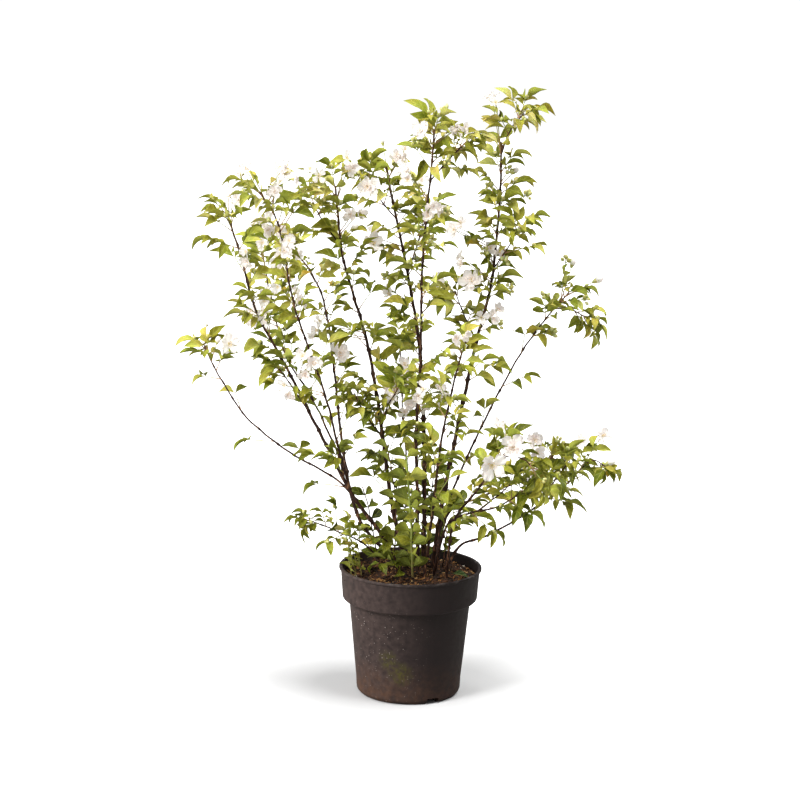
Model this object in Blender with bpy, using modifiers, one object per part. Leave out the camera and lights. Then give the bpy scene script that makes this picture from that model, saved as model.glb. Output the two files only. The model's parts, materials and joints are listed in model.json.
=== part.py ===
"""Potted mock orange: a young Philadelphus shrub of many canes in a black nursery pot.

Metres, +Z up, the origin at the middle of the pot's base, the front of the plant towards -Y.
Routes and places of the plant are written in millimetres, as (across, depth, height).
"""

import math
import random

import bmesh
import bpy
from mathutils import Matrix, Vector, noise
from mathutils.bvhtree import BVHTree

MM = 0.001
UP = Vector((0, 0, 1))
GAP = 0.3 * MM  # air between two pieces that touch on the real plant
CLEAR = 0.5 * MM  # least air between growth of different canes

# Pot
SIDES = 28  # of the turned pot and of the compost inside it
RIM_RADIUS = 120 * MM
POT_HEIGHT = 218 * MM
LIP_HEIGHT = 3.5 * MM
LIP_REACH = 3 * MM
COLLAR_HEIGHT = 54 * MM
COLLAR_FOOT_RADIUS = 113.3 * MM
COLLAR_STEP = 3.6 * MM  # how far below the collar's foot the wall steps out to it
BODY_TOP_RADIUS = 102 * MM
BASE_RADIUS = 87 * MM
BASE_ROUNDING = 2.5 * MM
WALL = 2.4 * MM
FLOOR = 3 * MM
SLOT_WIDTH = 22 * MM
SLOT_HEIGHT = 9 * MM
SLOT_DEPTH = 16 * MM  # how far each drainage slot reaches in under the floor's edge
SLOT_ANGLES = (-61, 59, 179)  # degrees from +X

# Compost
SOIL_DROP = 15 * MM  # below the rim
CROWN_RISE = 7 * MM  # of the root crown in the middle
CROWN_RADIUS = 45 * MM
SOIL_RELIEF = 2.5 * MM
SOIL_RINGS = (28 * MM, 56 * MM, 84 * MM)
SUNK = 48 * MM  # length of each cane below the crown
CROWN_TOP = POT_HEIGHT - SOIL_DROP + CROWN_RISE

# Leaves and shoots
BLADE_THICKNESS = 1.2 * MM  # at the midrib
BLADE_FOLD = 0.38  # rise of the margins over the midrib, in half widths
FULL_BLADE = ((0.33, 1.0), (0.67, 0.64))  # along the midrib, share of the half width
PLAIN_BLADE = ((0.42, 1.0),)  # of the smaller leaves
ROOT_RISE = 0.5 * MM  # half the height of a leaf's root
SHOOT_RADIUS = 0.9 * MM
SHOOT_TIP_RADIUS = 0.8 * MM
NODE_SPACING = 68 * MM  # between the pairs of shoots on a cane

FALLEN_LEAF = (30 * MM, 13 * MM)  # length and width of the one on the compost
FALLEN_LEAF_PLACE = (84, -16, -25)  # across, depth, and degrees from +X that it points

# Flowers
PETAL_THICKNESS = 1.2 * MM
CALYX_RADIUS = 2.4 * MM
CALYX_HEIGHT = 4 * MM
SHARPEST_KNEE = -0.35  # cosine of the sharpest turn from a flower's shoot to its stalk
STALK = 10 * MM  # of each flower, its calyx included
BUD_RADIUS = 3.1 * MM
BUD_STALK = 4 * MM

# Growth
SEED = 41
RING_SPACING = 60 * MM  # between the rings of a cane's tube
THICK_CANE = 4 * MM  # radius at the foot from which a cane has six sides, not four
MIDDLE_LEAF_SHARE = 0.2  # of the leafy shoots
BUD_SHARE = 0.16

# name: radii at the foot and the tip, height on the parent or first leafy height, leaf length,
# then the route from the crown of the plant to the tip
CANES = {
    "a": (3.6, 1.5, 400, 40, ((-20, -8), (-50, -10, 275), (-100, -15, 345), (-155, -20, 450),
                              (-210, -30, 560), (-260, -40, 655), (-285, -50, 745), (-310, -60, 825))),
    "d": (3.2, 1.4, 440, 36, ((-24, 30), (-90, 45, 290), (-120, 85, 410), (-135, 125, 515),
                              (-150, 160, 610), (-175, 185, 675), (-220, 210, 725))),
    "e": (4.2, 1.6, 330, 40, ((-8, 12), (-35, 5, 335), (-55, 0, 470), (-80, -10, 605),
                              (-120, -20, 745), (-135, -30, 865))),
    "f": (4.2, 1.8, 300, 40, ((22, 22), (20, 35, 400), (10, 55, 560), (-10, 70, 685),
                              (-40, 90, 815), (-55, 100, 885))),
    "g": (3.4, 1.5, 290, 42, ((12, -12), (10, -15, 320), (5, -30, 460), (10, -45, 590),
                              (10, -65, 745), (20, -85, 890), (25, -100, 970))),
    "h": (4.2, 1.6, 300, 42, ((38, 24), (50, 20, 310), (70, 20, 430), (100, 20, 590),
                              (125, 20, 705), (135, 20, 845), (135, 20, 935))),
    "i": (2.4, 1.2, 390, 38, ((42, 2), (55, 15, 305), (105, 40, 430), (170, 80, 555),
                              (215, 100, 620), (260, 120, 670))),
    "j": (2.6, 1.3, 300, 38, ((60, -26), (70, -60, 310), (95, -95, 360), (130, -140, 420),
                              (155, -180, 470))),
    "k": (2.8, 1.3, 290, 36, ((38, 44), (65, 70, 295), (110, 100, 310), (160, 130, 325),
                              (220, 170, 345), (250, 200, 375))),
    "l": (2.4, 1.2, 285, 36, ((40, -20), (60, -40, 300), (95, -55, 325), (145, -75, 345),
                              (195, -100, 385))),
    "m": (2.4, 1.2, 300, 38, ((60, 12), (85, 20, 250), (130, 15, 270), (185, 10, 305),
                              (245, 5, 350), (285, 0, 395))),
    "n": (2.8, 1.3, 290, 38, ((24, -34), (35, -65, 330), (45, -110, 450), (60, -155, 550),
                              (80, -200, 645))),
    "o": (2.2, 1.1, 250, 38, ((2, 42), (0, 70, 280), (-10, 110, 370), (-20, 150, 470),
                              (-25, 180, 570))),
    "q": (1.8, 1.0, 240, 30, ((-38, 4), (-80, -10, 258), (-135, -25, 287), (-180, -40, 307))),
    "basal_shoot": (1.9, 1.3, 225, 38, ((4, -42), (0, -56, 290), (-5, -70, 365), (-10, -90, 430))),
    "rim_seedling": (1.3, 1.0, 222, 22, ((-92, -21), (-102, -28, 250), (-112, -34, 290))),
}

# Branches that grow out of cane a: radii, height where they leave it, leaf length, route
BRANCHES = {
    "b": (2.0, 1.2, 365, 34, ((-130, -10, 425), (-175, 15, 510), (-215, 40, 565), (-240, 70, 650),
                              (-260, 100, 735))),
    "c": (2.2, 1.3, 350, 38, ((-120, -35, 415), (-145, -55, 520), (-175, -80, 610),
                              (-200, -105, 695), (-220, -145, 815), (-250, -170, 875))),
    "p": (1.9, 1.2, 335, 36, ((-130, -15, 372), (-205, 0, 410), (-275, 20, 460), (-325, 45, 525),
                              (-355, 60, 580))),
}

# Open flowers: cane, place of the flower's middle, diameter, the way it faces as degrees
# (to the right of the front, up)
BLOOMS = (
    ("a", (-305, -75, 852), 24, (-30, 30)),
    ("c", (-270, -185, 914), 22, (-20, 15)),
    ("c", (-220, -160, 912), 20, (20, 40)),
    ("c", (-202, -168, 896), 24, (80, -5)),
    ("c", (-225, -194, 880), 22, (0, 0)),
    ("b", (-269, 82, 786), 22, (-40, 30)),
    ("a", (-275, -72, 760), 22, (-35, 10)),
    ("b", (-258, 66, 752), 22, (10, 20)),
    ("c", (-215, -118, 796), 22, (20, 30)),
    ("c", (-211, -159, 779), 22, (0, 10)),
    ("b", (-251, 51, 670), 20, (-10, 10)),
    ("c", (-191, -79, 684), 22, (60, 20)),
    ("a", (-245, -66, 661), 20, (-60, 0)),
    ("p", (-310, 36, 585), 30, (20, 25)),
    ("c", (-165, -99, 583), 27, (20, 20)),
    ("d", (-126, 103, 559), 33, (10, 10)),
    ("e", (-116, -46, 913), 25, (15, 35)),
    ("f", (-83, 61, 851), 36, (-15, 5)),
    ("f", (-72, 51, 755), 36, (15, 50)),
    ("g", (3, -120, 969), 30, (-20, 35)),
    ("g", (71, -100, 973), 20, (60, 10)),
    ("f", (5, 68, 862), 23, (20, 30)),
    ("g", (23, -112, 848), 25, (30, -5)),
    ("h", (124, 6, 1001), 26, (-15, 50)),
    ("h", (75, 0, 736), 20, (-60, 10)),
    ("h", (91, -8, 708), 36, (-15, 45)),
    ("h", (126, -6, 645), 26, (35, 5)),
    ("f", (-43, 41, 674), 23, (-50, 20)),
    ("f", (-15, 10, 542), 30, (-5, 10)),
    ("e", (-34, -32, 512), 23, (-30, 0)),
    ("g", (7, -75, 528), 24, (0, 0)),
    ("g", (40, -13, 530), 29, (70, 25)),
    ("n", (65, -222, 656), 21, (15, 0)),
    ("j", (137, -166, 499), 27, (60, 30)),
    ("j", (160, -202, 475), 38, (0, 5)),
    ("k", (209, 166, 399), 30, (25, 30)),
    ("j", (128, -175, 438), 41, (-5, 0)),
    ("k", (205, 131, 347), 30, (40, -10)),
    ("m", (284, 18, 434), 23, (-30, 25)),
    ("m", (316, 0, 449), 25, (20, 30)),
)

# Closed flowers, still balls: cane, place, diameter
CLOSED = (
    ("i", (263, 112, 722), 13), ("i", (308, 120, 692), 15), ("h", (169, 20, 992), 16),
    ("h", (160, 20, 889), 11), ("b", (-248, 39, 610), 11), ("m", (331, -6, 406), 15),
    ("n", (61, -214, 630), 10), ("f", (-61, 100, 923), 11), ("a", (-307, -60, 881), 11),
    ("p", (-329, 47, 590), 11), ("e", (-102, -34, 799), 12), ("k", (222, 172, 372), 10),
)


def principled(name, color, roughness, metallic=0.0):
    """A plain material; the colour is linear."""
    material = bpy.data.materials.new(name)
    material.use_nodes = True
    shader = material.node_tree.nodes["Principled BSDF"]
    shader.inputs["Base Color"].default_value = (*color, 1)
    shader.inputs["Roughness"].default_value = roughness
    shader.inputs["Metallic"].default_value = metallic
    return material


def link_mesh(name, mesh, collection, *materials):
    """A new object for the mesh, in the collection."""
    obj = bpy.data.objects.new(name, mesh)
    for material in materials:
        mesh.materials.append(material)
    collection.objects.link(obj)
    return obj


def mesh_from(bm, name, slot=0):
    """A mesh of the bmesh, all of it in one material slot. The bmesh is freed."""
    bmesh.ops.recalc_face_normals(bm, faces=bm.faces)
    for face in bm.faces:
        face.material_index = slot
    mesh = bpy.data.meshes.new(name)
    bm.to_mesh(mesh)
    bm.free()
    return mesh


def turned(name, profile, collection, material):
    """A profile of (radius, height) turned about Z, from the axis over the top, out and down to the axis."""
    mesh = bpy.data.meshes.new(name)
    points = [(radius, 0, height) for radius, height in profile]
    mesh.from_pydata(points, [(i, i + 1) for i in range(len(points) - 1)], [])
    obj = link_mesh(name, mesh, collection, material)
    screw = obj.modifiers.new("turn", "SCREW")
    screw.steps = screw.render_steps = SIDES
    screw.use_merge_vertices = True
    screw.merge_threshold = 0.00001
    return obj


def baked(obj):
    """Turns the object's modifiers into its mesh."""
    evaluated = obj.evaluated_get(bpy.context.evaluated_depsgraph_get())
    old = obj.data
    obj.data = bpy.data.meshes.new_from_object(evaluated)
    obj.modifiers.clear()
    bpy.data.meshes.remove(old)
    return obj


def boolean(obj, operation, collection):
    """Cuts from the object, or joins to it, all that the collection holds, and bakes the result."""
    modifier = obj.modifiers.new(operation.lower(), "BOOLEAN")
    modifier.operation = operation
    modifier.operand_type = "COLLECTION"
    modifier.collection = collection
    modifier.solver = "EXACT"
    return baked(obj)


def new_collection(name, helper=False):
    collection = bpy.data.collections.new(name)
    bpy.context.scene.collection.children.link(collection)
    collection.hide_render = helper
    return collection


def clear_collection(collection):
    for obj in list(collection.objects):
        bpy.data.objects.remove(obj)
    bpy.data.collections.remove(collection)


# Pot and compost


def wall_radius(height):
    """Outer radius of the pot's wall at a height, without its lip."""
    collar_foot = POT_HEIGHT - COLLAR_HEIGHT
    if height >= collar_foot:
        share = (height - collar_foot) / COLLAR_HEIGHT
        return COLLAR_FOOT_RADIUS + share * (RIM_RADIUS - LIP_REACH - COLLAR_FOOT_RADIUS)
    return BASE_RADIUS + height / collar_foot * (BODY_TOP_RADIUS - BASE_RADIUS)


def pot(parts):
    """The moulded pot: a turned shell with a flat floor and drainage slots through its bottom edge."""
    collar_foot = POT_HEIGHT - COLLAR_HEIGHT
    lip_foot = POT_HEIGHT - LIP_HEIGHT
    profile = (
        (0, FLOOR),
        (wall_radius(FLOOR) - WALL, FLOOR),
        (BODY_TOP_RADIUS - WALL, collar_foot - COLLAR_STEP + WALL),
        (COLLAR_FOOT_RADIUS - WALL, collar_foot + WALL),
        (wall_radius(POT_HEIGHT) - WALL, POT_HEIGHT),
        (RIM_RADIUS - BASE_ROUNDING / 3, POT_HEIGHT),
        (RIM_RADIUS, POT_HEIGHT - LIP_HEIGHT / 3),
        (RIM_RADIUS, lip_foot),
        (wall_radius(lip_foot), lip_foot - WALL / 2),
        (COLLAR_FOOT_RADIUS, collar_foot + WALL / 2),
        (COLLAR_FOOT_RADIUS - WALL / 2, collar_foot),
        (BODY_TOP_RADIUS, collar_foot - COLLAR_STEP),
        (wall_radius(BASE_ROUNDING), BASE_ROUNDING),
        (BASE_RADIUS - BASE_ROUNDING, 0),
        (0, 0),
    )
    plastic = principled("pot_plastic", (0.042, 0.033, 0.032), 0.55)
    body = turned("pot", profile, parts, plastic)
    cutters = new_collection("cutters", helper=True)
    for angle in SLOT_ANGLES:
        bm = bmesh.new()
        bmesh.ops.create_cube(bm, size=1)
        reach = 2 * SLOT_DEPTH
        scale = Matrix.Diagonal((reach, SLOT_WIDTH, 2 * SLOT_HEIGHT, 1))
        out = Matrix.Translation((BASE_RADIUS - SLOT_DEPTH + reach / 2, 0, 0))
        turn = Matrix.Rotation(math.radians(angle), 4, "Z")
        bmesh.ops.transform(bm, matrix=turn @ out @ scale, verts=bm.verts)
        slot = link_mesh("slot_cutter", mesh_from(bm, "slot_cutter"), cutters)
        slot.hide_render = True
        slot.display_type = "WIRE"
    boolean(body, "DIFFERENCE", cutters)
    clear_collection(cutters)
    body.data.set_sharp_from_angle(angle=math.radians(35))
    return body


def soil(parts, crown):
    """The compost: it fills the pot, with a lumpy top and a plain hole for each cane of the crown."""
    top = POT_HEIGHT - SOIL_DROP
    collar_foot = POT_HEIGHT - COLLAR_HEIGHT
    clear = WALL + 2 * GAP
    edge = wall_radius(top) - clear
    profile = [(0, top)] + [(radius, top) for radius in SOIL_RINGS] + [
        (edge, top - SOIL_RELIEF),
        (COLLAR_FOOT_RADIUS - clear, collar_foot + WALL + GAP),
        (BODY_TOP_RADIUS - clear, collar_foot - COLLAR_STEP + WALL + GAP),
        (wall_radius(FLOOR) - clear, FLOOR + GAP),
        (0, FLOOR + GAP),
    ]
    compost = principled("compost", (0.09, 0.045, 0.022), 0.95)
    body = baked(turned("soil", profile, parts, compost))
    for vertex in body.data.vertices:
        radius = math.hypot(vertex.co.x, vertex.co.y)
        if vertex.co.z < top - GAP:
            continue
        lump = noise.noise(vertex.co / (18 * MM)) * 2 * SOIL_RELIEF
        vertex.co.z += lump + CROWN_RISE * math.exp(-((radius / CROWN_RADIUS) ** 2))
    cutters = new_collection("cutters", helper=True)
    for foot, radius in crown:
        # The hole is six-sided, and no side comes nearer than the gap to the round of the cane.
        hole_radius = (radius + GAP) / math.cos(math.pi / 6)
        bm = bmesh.new()
        low, high = CROWN_TOP - SUNK - GAP, CROWN_TOP + CROWN_RISE
        place = Matrix.Translation((foot.x, foot.y, (low + high) / 2))
        bmesh.ops.create_cone(bm, cap_ends=True, segments=6, radius1=hole_radius,
                              radius2=hole_radius, depth=high - low, matrix=place)
        hole = link_mesh("hole_cutter", mesh_from(bm, "hole_cutter"), cutters)
        hole.hide_render = True
        hole.display_type = "WIRE"
    boolean(body, "DIFFERENCE", cutters)
    clear_collection(cutters)
    return body


# Growth: routes, blades, flowers


def smooth_route(points, step):
    """Points about a step apart on one smooth curve through the given points."""
    ends = [2 * points[0] - points[1]] + list(points) + [2 * points[-1] - points[-2]]
    route = []
    for a, b, c, d in zip(ends, ends[1:], ends[2:], ends[3:]):
        count = max(1, round((c - b).length / step))
        for i in range(count):
            t = i / count
            route.append(0.5 * ((2 * b) + (c - a) * t + (2 * a - 5 * b + 4 * c - d) * t ** 2
                                + (3 * b - a - 3 * c + d) * t ** 3))
    return route + [points[-1]]


class Stem:
    """A cane or branch: the rings of its tube, the length along it, and its radius there."""

    def __init__(self, points, foot_radius, tip_radius, buried=()):
        self.buried = list(buried)
        fine = smooth_route(points, 4 * MM)
        reached = lengths_along(fine)
        count = max(3, round(reached[-1] / RING_SPACING))
        self.rings = []
        for i in range(count + 1):
            nearest = min(range(len(fine)), key=lambda k: abs(reached[k] - reached[-1] * i / count))
            self.rings.append(fine[nearest])
        self.lengths = lengths_along(self.rings)
        self.length = self.lengths[-1]
        self.foot_radius, self.tip_radius = foot_radius, tip_radius

    def at(self, length):
        """The point at this length along the stem, and the stem's direction there."""
        length = min(max(length, 0.0), self.length)
        i = max(k for k, reached in enumerate(self.lengths[:-1]) if reached <= length)
        a, b = self.rings[i], self.rings[i + 1]
        share = (length - self.lengths[i]) / (self.lengths[i + 1] - self.lengths[i])
        return a.lerp(b, share), (b - a).normalized()

    def radius(self, length):
        share = min(length / self.length, 1.0)
        return self.foot_radius + (self.tip_radius - self.foot_radius) * share ** 0.8

    def samples(self):
        """Lengths a few millimetres apart along the stem."""
        count = math.ceil(self.length / (4 * MM))
        return [self.length * i / count for i in range(count + 1)]

    def nearest(self, point):
        """The length along the stem that lies nearest to the point."""
        return min(self.samples(), key=lambda length: (self.at(length)[0] - point).length)

    def above(self, height):
        """The length along the stem where it first reaches the height."""
        return next((s for s in self.samples() if self.at(s)[0].z >= height), self.length)


def lengths_along(points):
    """The length walked to each point of a route."""
    lengths = [0.0]
    for a, b in zip(points, points[1:]):
        lengths.append(lengths[-1] + (b - a).length)
    return lengths


def stem_tube(stem):
    """The stem as a bevelled curve, turned into a closed mesh."""
    rings = [(point, stem.foot_radius) for point in stem.buried]
    rings += [(point, stem.radius(length)) for point, length in zip(stem.rings, stem.lengths)]
    curve = bpy.data.curves.new("stem", "CURVE")
    curve.dimensions = "3D"
    curve.bevel_depth = 1.0
    curve.bevel_resolution = 1 if stem.foot_radius > THICK_CANE else 0
    curve.use_fill_caps = True
    spline = curve.splines.new("POLY")
    spline.points.add(len(rings) - 1)
    for spot, (point, radius) in zip(spline.points, rings):
        spot.co = (*point, 1)
        spot.radius = radius
    carrier = bpy.data.objects.new("stem", curve)
    bpy.context.scene.collection.objects.link(carrier)
    evaluated = carrier.evaluated_get(bpy.context.evaluated_depsgraph_get())
    mesh = bpy.data.meshes.new_from_object(evaluated)
    bpy.data.objects.remove(carrier)
    bpy.data.curves.remove(curve)
    bm = bmesh.new()
    bm.from_mesh(mesh)
    bpy.data.meshes.remove(mesh)
    bmesh.ops.remove_doubles(bm, verts=bm.verts, dist=0.01 * MM)
    return bm


def frame_on(direction, towards):
    """Side and normal vectors square to the direction, the normal as near to towards as it can be."""
    side = direction.cross(towards)
    if side.length < 1e-3:
        side = direction.cross(Vector((0.3, -1, 0.2)))
    side.normalize()
    return side, side.cross(direction).normalized()


def ring_of(middle, side, normal, radius, sides=4):
    """Corners of a stalk's section, the first one on its upper side."""
    angles = [2 * math.pi * i / sides for i in range(sides)]
    return [middle + (normal * math.cos(a) + side * math.sin(a)) * radius for a in angles]


def stalk(stations, sides=4):
    """A closed stalk through (point, radius) stations, its rings square to it where it bends."""
    bm = bmesh.new()
    points = [point for point, _ in stations]
    ways = [(b - a).normalized() for a, b in zip(points, points[1:])]
    ways = [ways[0]] + [(a + b).normalized() for a, b in zip(ways, ways[1:])] + [ways[-1]]
    side, normal = frame_on(ways[0], UP)
    rings = []
    for (point, radius), way in zip(stations, ways):
        side, normal = frame_on(way, normal)
        rings.append([bm.verts.new(p) for p in ring_of(point, side, normal, radius, sides)])
    bm.faces.new(rings[0])
    bm.faces.new(rings[-1])
    bridge(bm, rings)
    bmesh.ops.recalc_face_normals(bm, faces=bm.faces)
    return bm


def bridge(bm, rings):
    """Skins from ring to ring. Each quarter is split alike, so both faces of a blade match."""
    for ring, after in zip(rings, rings[1:]):
        for i, a in enumerate(ring):
            b = ring[(i + 1) % len(ring)]
            c, d = after[i], after[(i + 1) % len(ring)]
            if i % 2:
                bm.faces.new((a, b, d))
                bm.faces.new((a, d, c))
            else:
                bm.faces.new((a, b, c))
                bm.faces.new((b, d, c))


def blade(bm, root, start, direction, upper, length, width, droop, hand, outline):
    """Adds a leaf blade, folded up from its midrib, arched down by droop radians, ending in a point.

    Its section is a flat kite: two margins, a sunken midrib above, a keel below. It starts at root
    from the vertices start: above, at the margin towards the shoot's foot, below, and at the other
    margin, where nothing stands for a margin that springs from the edge between above and below.
    """
    side, normal = frame_on(direction, upper)
    side *= hand
    point, walked, steps = Vector(root), 0.0, 12
    rings = []
    for station, share in outline + ((1.0, 0.0),):
        for _ in range(round((station - walked) * steps)):
            bend = droop * (walked + 0.5 / steps) ** 1.2
            point = point + (direction * math.cos(bend) - normal * math.sin(bend)) * (length / steps)
            walked += 1 / steps
        out = normal * math.cos(bend) + direction * math.sin(bend)
        half = side * (share * width / 2)
        lift = out * (BLADE_FOLD * half.length)
        rib = out * (BLADE_THICKNESS / 2)
        if share:
            rings.append([point + rib, point + half + lift, point - rib, point - half + lift])
    rings = [[bm.verts.new(p) for p in ring] for ring in rings]
    tip = bm.verts.new(point)
    above, below = start[0], start[2]
    rib_above, rib_below = rings[0][0], rings[0][2]
    for begin, margin in ((start[1], rings[0][1]), (start[3], rings[0][3])):
        bm.faces.new((above, rib_above, margin))
        bm.faces.new((below, margin, rib_below))
        if begin:
            bm.faces.new((above, margin, begin))
            bm.faces.new((below, begin, margin))
        else:
            bm.faces.new((above, margin, below))
    bridge(bm, rings)
    for a, b in zip(rings[-1], rings[-1][1:] + rings[-1][:1]):
        bm.faces.new((a, b, tip))


def fork(bm, root, starts, along, spread, normal, sizes, droops, outline=FULL_BLADE):
    """Adds one or two opposite leaves that part at root, spread radians off the way along."""
    side = along.cross(normal)
    for hand, start, (length, width), droop in zip((1, -1), starts, sizes, droops):
        way = (along * math.cos(spread) + side * (hand * math.sin(spread))).normalized()
        blade(bm, root, start, way, normal, length, width, droop, hand, outline)


def leaf_pair(root, along, spread, upper, sizes, droops, outline=FULL_BLADE):
    """One leaf, or two opposite ones in one skin, rooted in the middle of a shoot."""
    _, normal = frame_on(along, upper)
    bm = bmesh.new()
    above, below = [bm.verts.new(root + normal * rise) for rise in (ROOT_RISE, -ROOT_RISE)]
    if len(sizes) == 1:
        starts = [(above, None, below, None)]
    else:
        back, front = [bm.verts.new(root + along * reach) for reach in (-ROOT_RISE, ROOT_RISE)]
        starts = [(above, back, below, front)] * 2
    fork(bm, root, starts, along, spread, normal, sizes, droops, outline)
    bmesh.ops.recalc_face_normals(bm, faces=bm.faces)
    return bm


def sprig(start, end, spread, upper, sizes, droops):
    """A shoot from the middle of its cane that forks into two leaves at its end, in one skin."""
    along = (end - start).normalized()
    side, normal = frame_on(along, upper)
    bm = bmesh.new()
    foot, top = [[bm.verts.new(p) for p in ring_of(point, side, normal, radius)]
                 for point, radius in ((start, SHOOT_RADIUS), (end, SHOOT_TIP_RADIUS))]
    bm.faces.new(foot)
    bridge(bm, [foot, top])
    above, right, below, left = top
    starts = [(above, right, below, None), (above, left, below, None)]
    fork(bm, end, starts, along, spread, normal, sizes, droops)
    bmesh.ops.recalc_face_normals(bm, faces=bm.faces)
    return bm


def facing(degrees):
    """The direction a flower looks: degrees to the right of the front, and up."""
    across, up = (math.radians(angle) for angle in degrees)
    return Vector((math.sin(across) * math.cos(up), -math.cos(across) * math.cos(up), math.sin(up)))


def bloom(middle, look, diameter, petals, draw):
    """An open flower: petals side by side round a raised boss of stamens, in one closed skin."""
    radius = diameter / 2
    side, normal = frame_on(look, UP)
    turn = draw.uniform(0, 2 * math.pi)
    pitch = 2 * math.pi / petals
    bm = bmesh.new()

    def spot(reach, angle, height):
        flat = side * math.cos(angle) + normal * math.sin(angle)
        return bm.verts.new(middle + flat * (reach * radius) + look * height)

    cup = draw.uniform(0.10, 0.30) * radius
    boss = bm.verts.new(middle + look * (2.8 * MM))
    under = bm.verts.new(middle - look * PETAL_THICKNESS)
    sinus = [spot(0.30, turn + (i - 0.5) * pitch, 0.2 * cup) for i in range(petals)]
    ring = [spot(0.17, turn + (i - 0.5) * pitch, 0.9 * MM) for i in range(petals)]
    for i in range(petals):
        angle, after = turn + i * pitch, (i + 1) % petals
        wave = draw.uniform(-0.12, 0.12) * radius
        reach = draw.uniform(0.94, 1.06)
        top = spot(0.60 * reach, angle, 0.45 * cup + PETAL_THICKNESS / 2)
        bottom = spot(0.60 * reach, angle, 0.45 * cup - PETAL_THICKNESS / 2)
        left = spot(0.84 * reach, angle - 0.36 * pitch, cup + wave)
        tip = spot(0.97 * reach, angle, 0.8 * cup)
        right = spot(0.84 * reach, angle + 0.36 * pitch, cup - wave)
        edge = (sinus[i], left, tip, right, sinus[after])
        for a, b in zip(edge, edge[1:]):
            bm.faces.new((a, b, top))
            bm.faces.new((b, a, bottom))
        bm.faces.new((under, sinus[i], bottom))
        bm.faces.new((sinus[after], under, bottom))
        bm.faces.new((sinus[i], top, ring[i]))
        bm.faces.new((ring[i], top, ring[after]))
        bm.faces.new((ring[after], top, sinus[after]))
        bm.faces.new((ring[i], ring[after], boss))
    bmesh.ops.recalc_face_normals(bm, faces=bm.faces)
    return bm


def ball(middle, radius, sides, bands):
    bm = bmesh.new()
    bmesh.ops.create_uvsphere(bm, u_segments=sides, v_segments=bands, radius=radius,
                              matrix=Matrix.Translation(middle))
    return bm


class Space:
    """What has been placed, so that growth of one cane stays clear of everything else."""

    def __init__(self):
        self.taken = []

    @staticmethod
    def box(bm):
        places = [vertex.co for vertex in bm.verts]
        low = [min(p[i] for p in places) for i in range(3)]
        high = [max(p[i] for p in places) for i in range(3)]
        return low, high

    def add(self, bm, owner):
        low, high = self.box(bm)
        self.taken.append((low, high, BVHTree.FromBMesh(bm), owner))

    def free(self, bm, *friends):
        """Whether the shape, grown by the least clearance, touches nothing but its friends."""
        grown = bm.copy()
        grown.normal_update()
        for vertex in grown.verts:
            vertex.co += vertex.normal * CLEAR
        low, high = self.box(grown)
        tree = BVHTree.FromBMesh(grown)
        grown.free()
        for other_low, other_high, other, owner in self.taken:
            if owner in friends:
                continue
            if any(low[i] > other_high[i] or high[i] < other_low[i] for i in range(3)):
                continue
            if tree.overlap(other):
                return False
        return True


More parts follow.
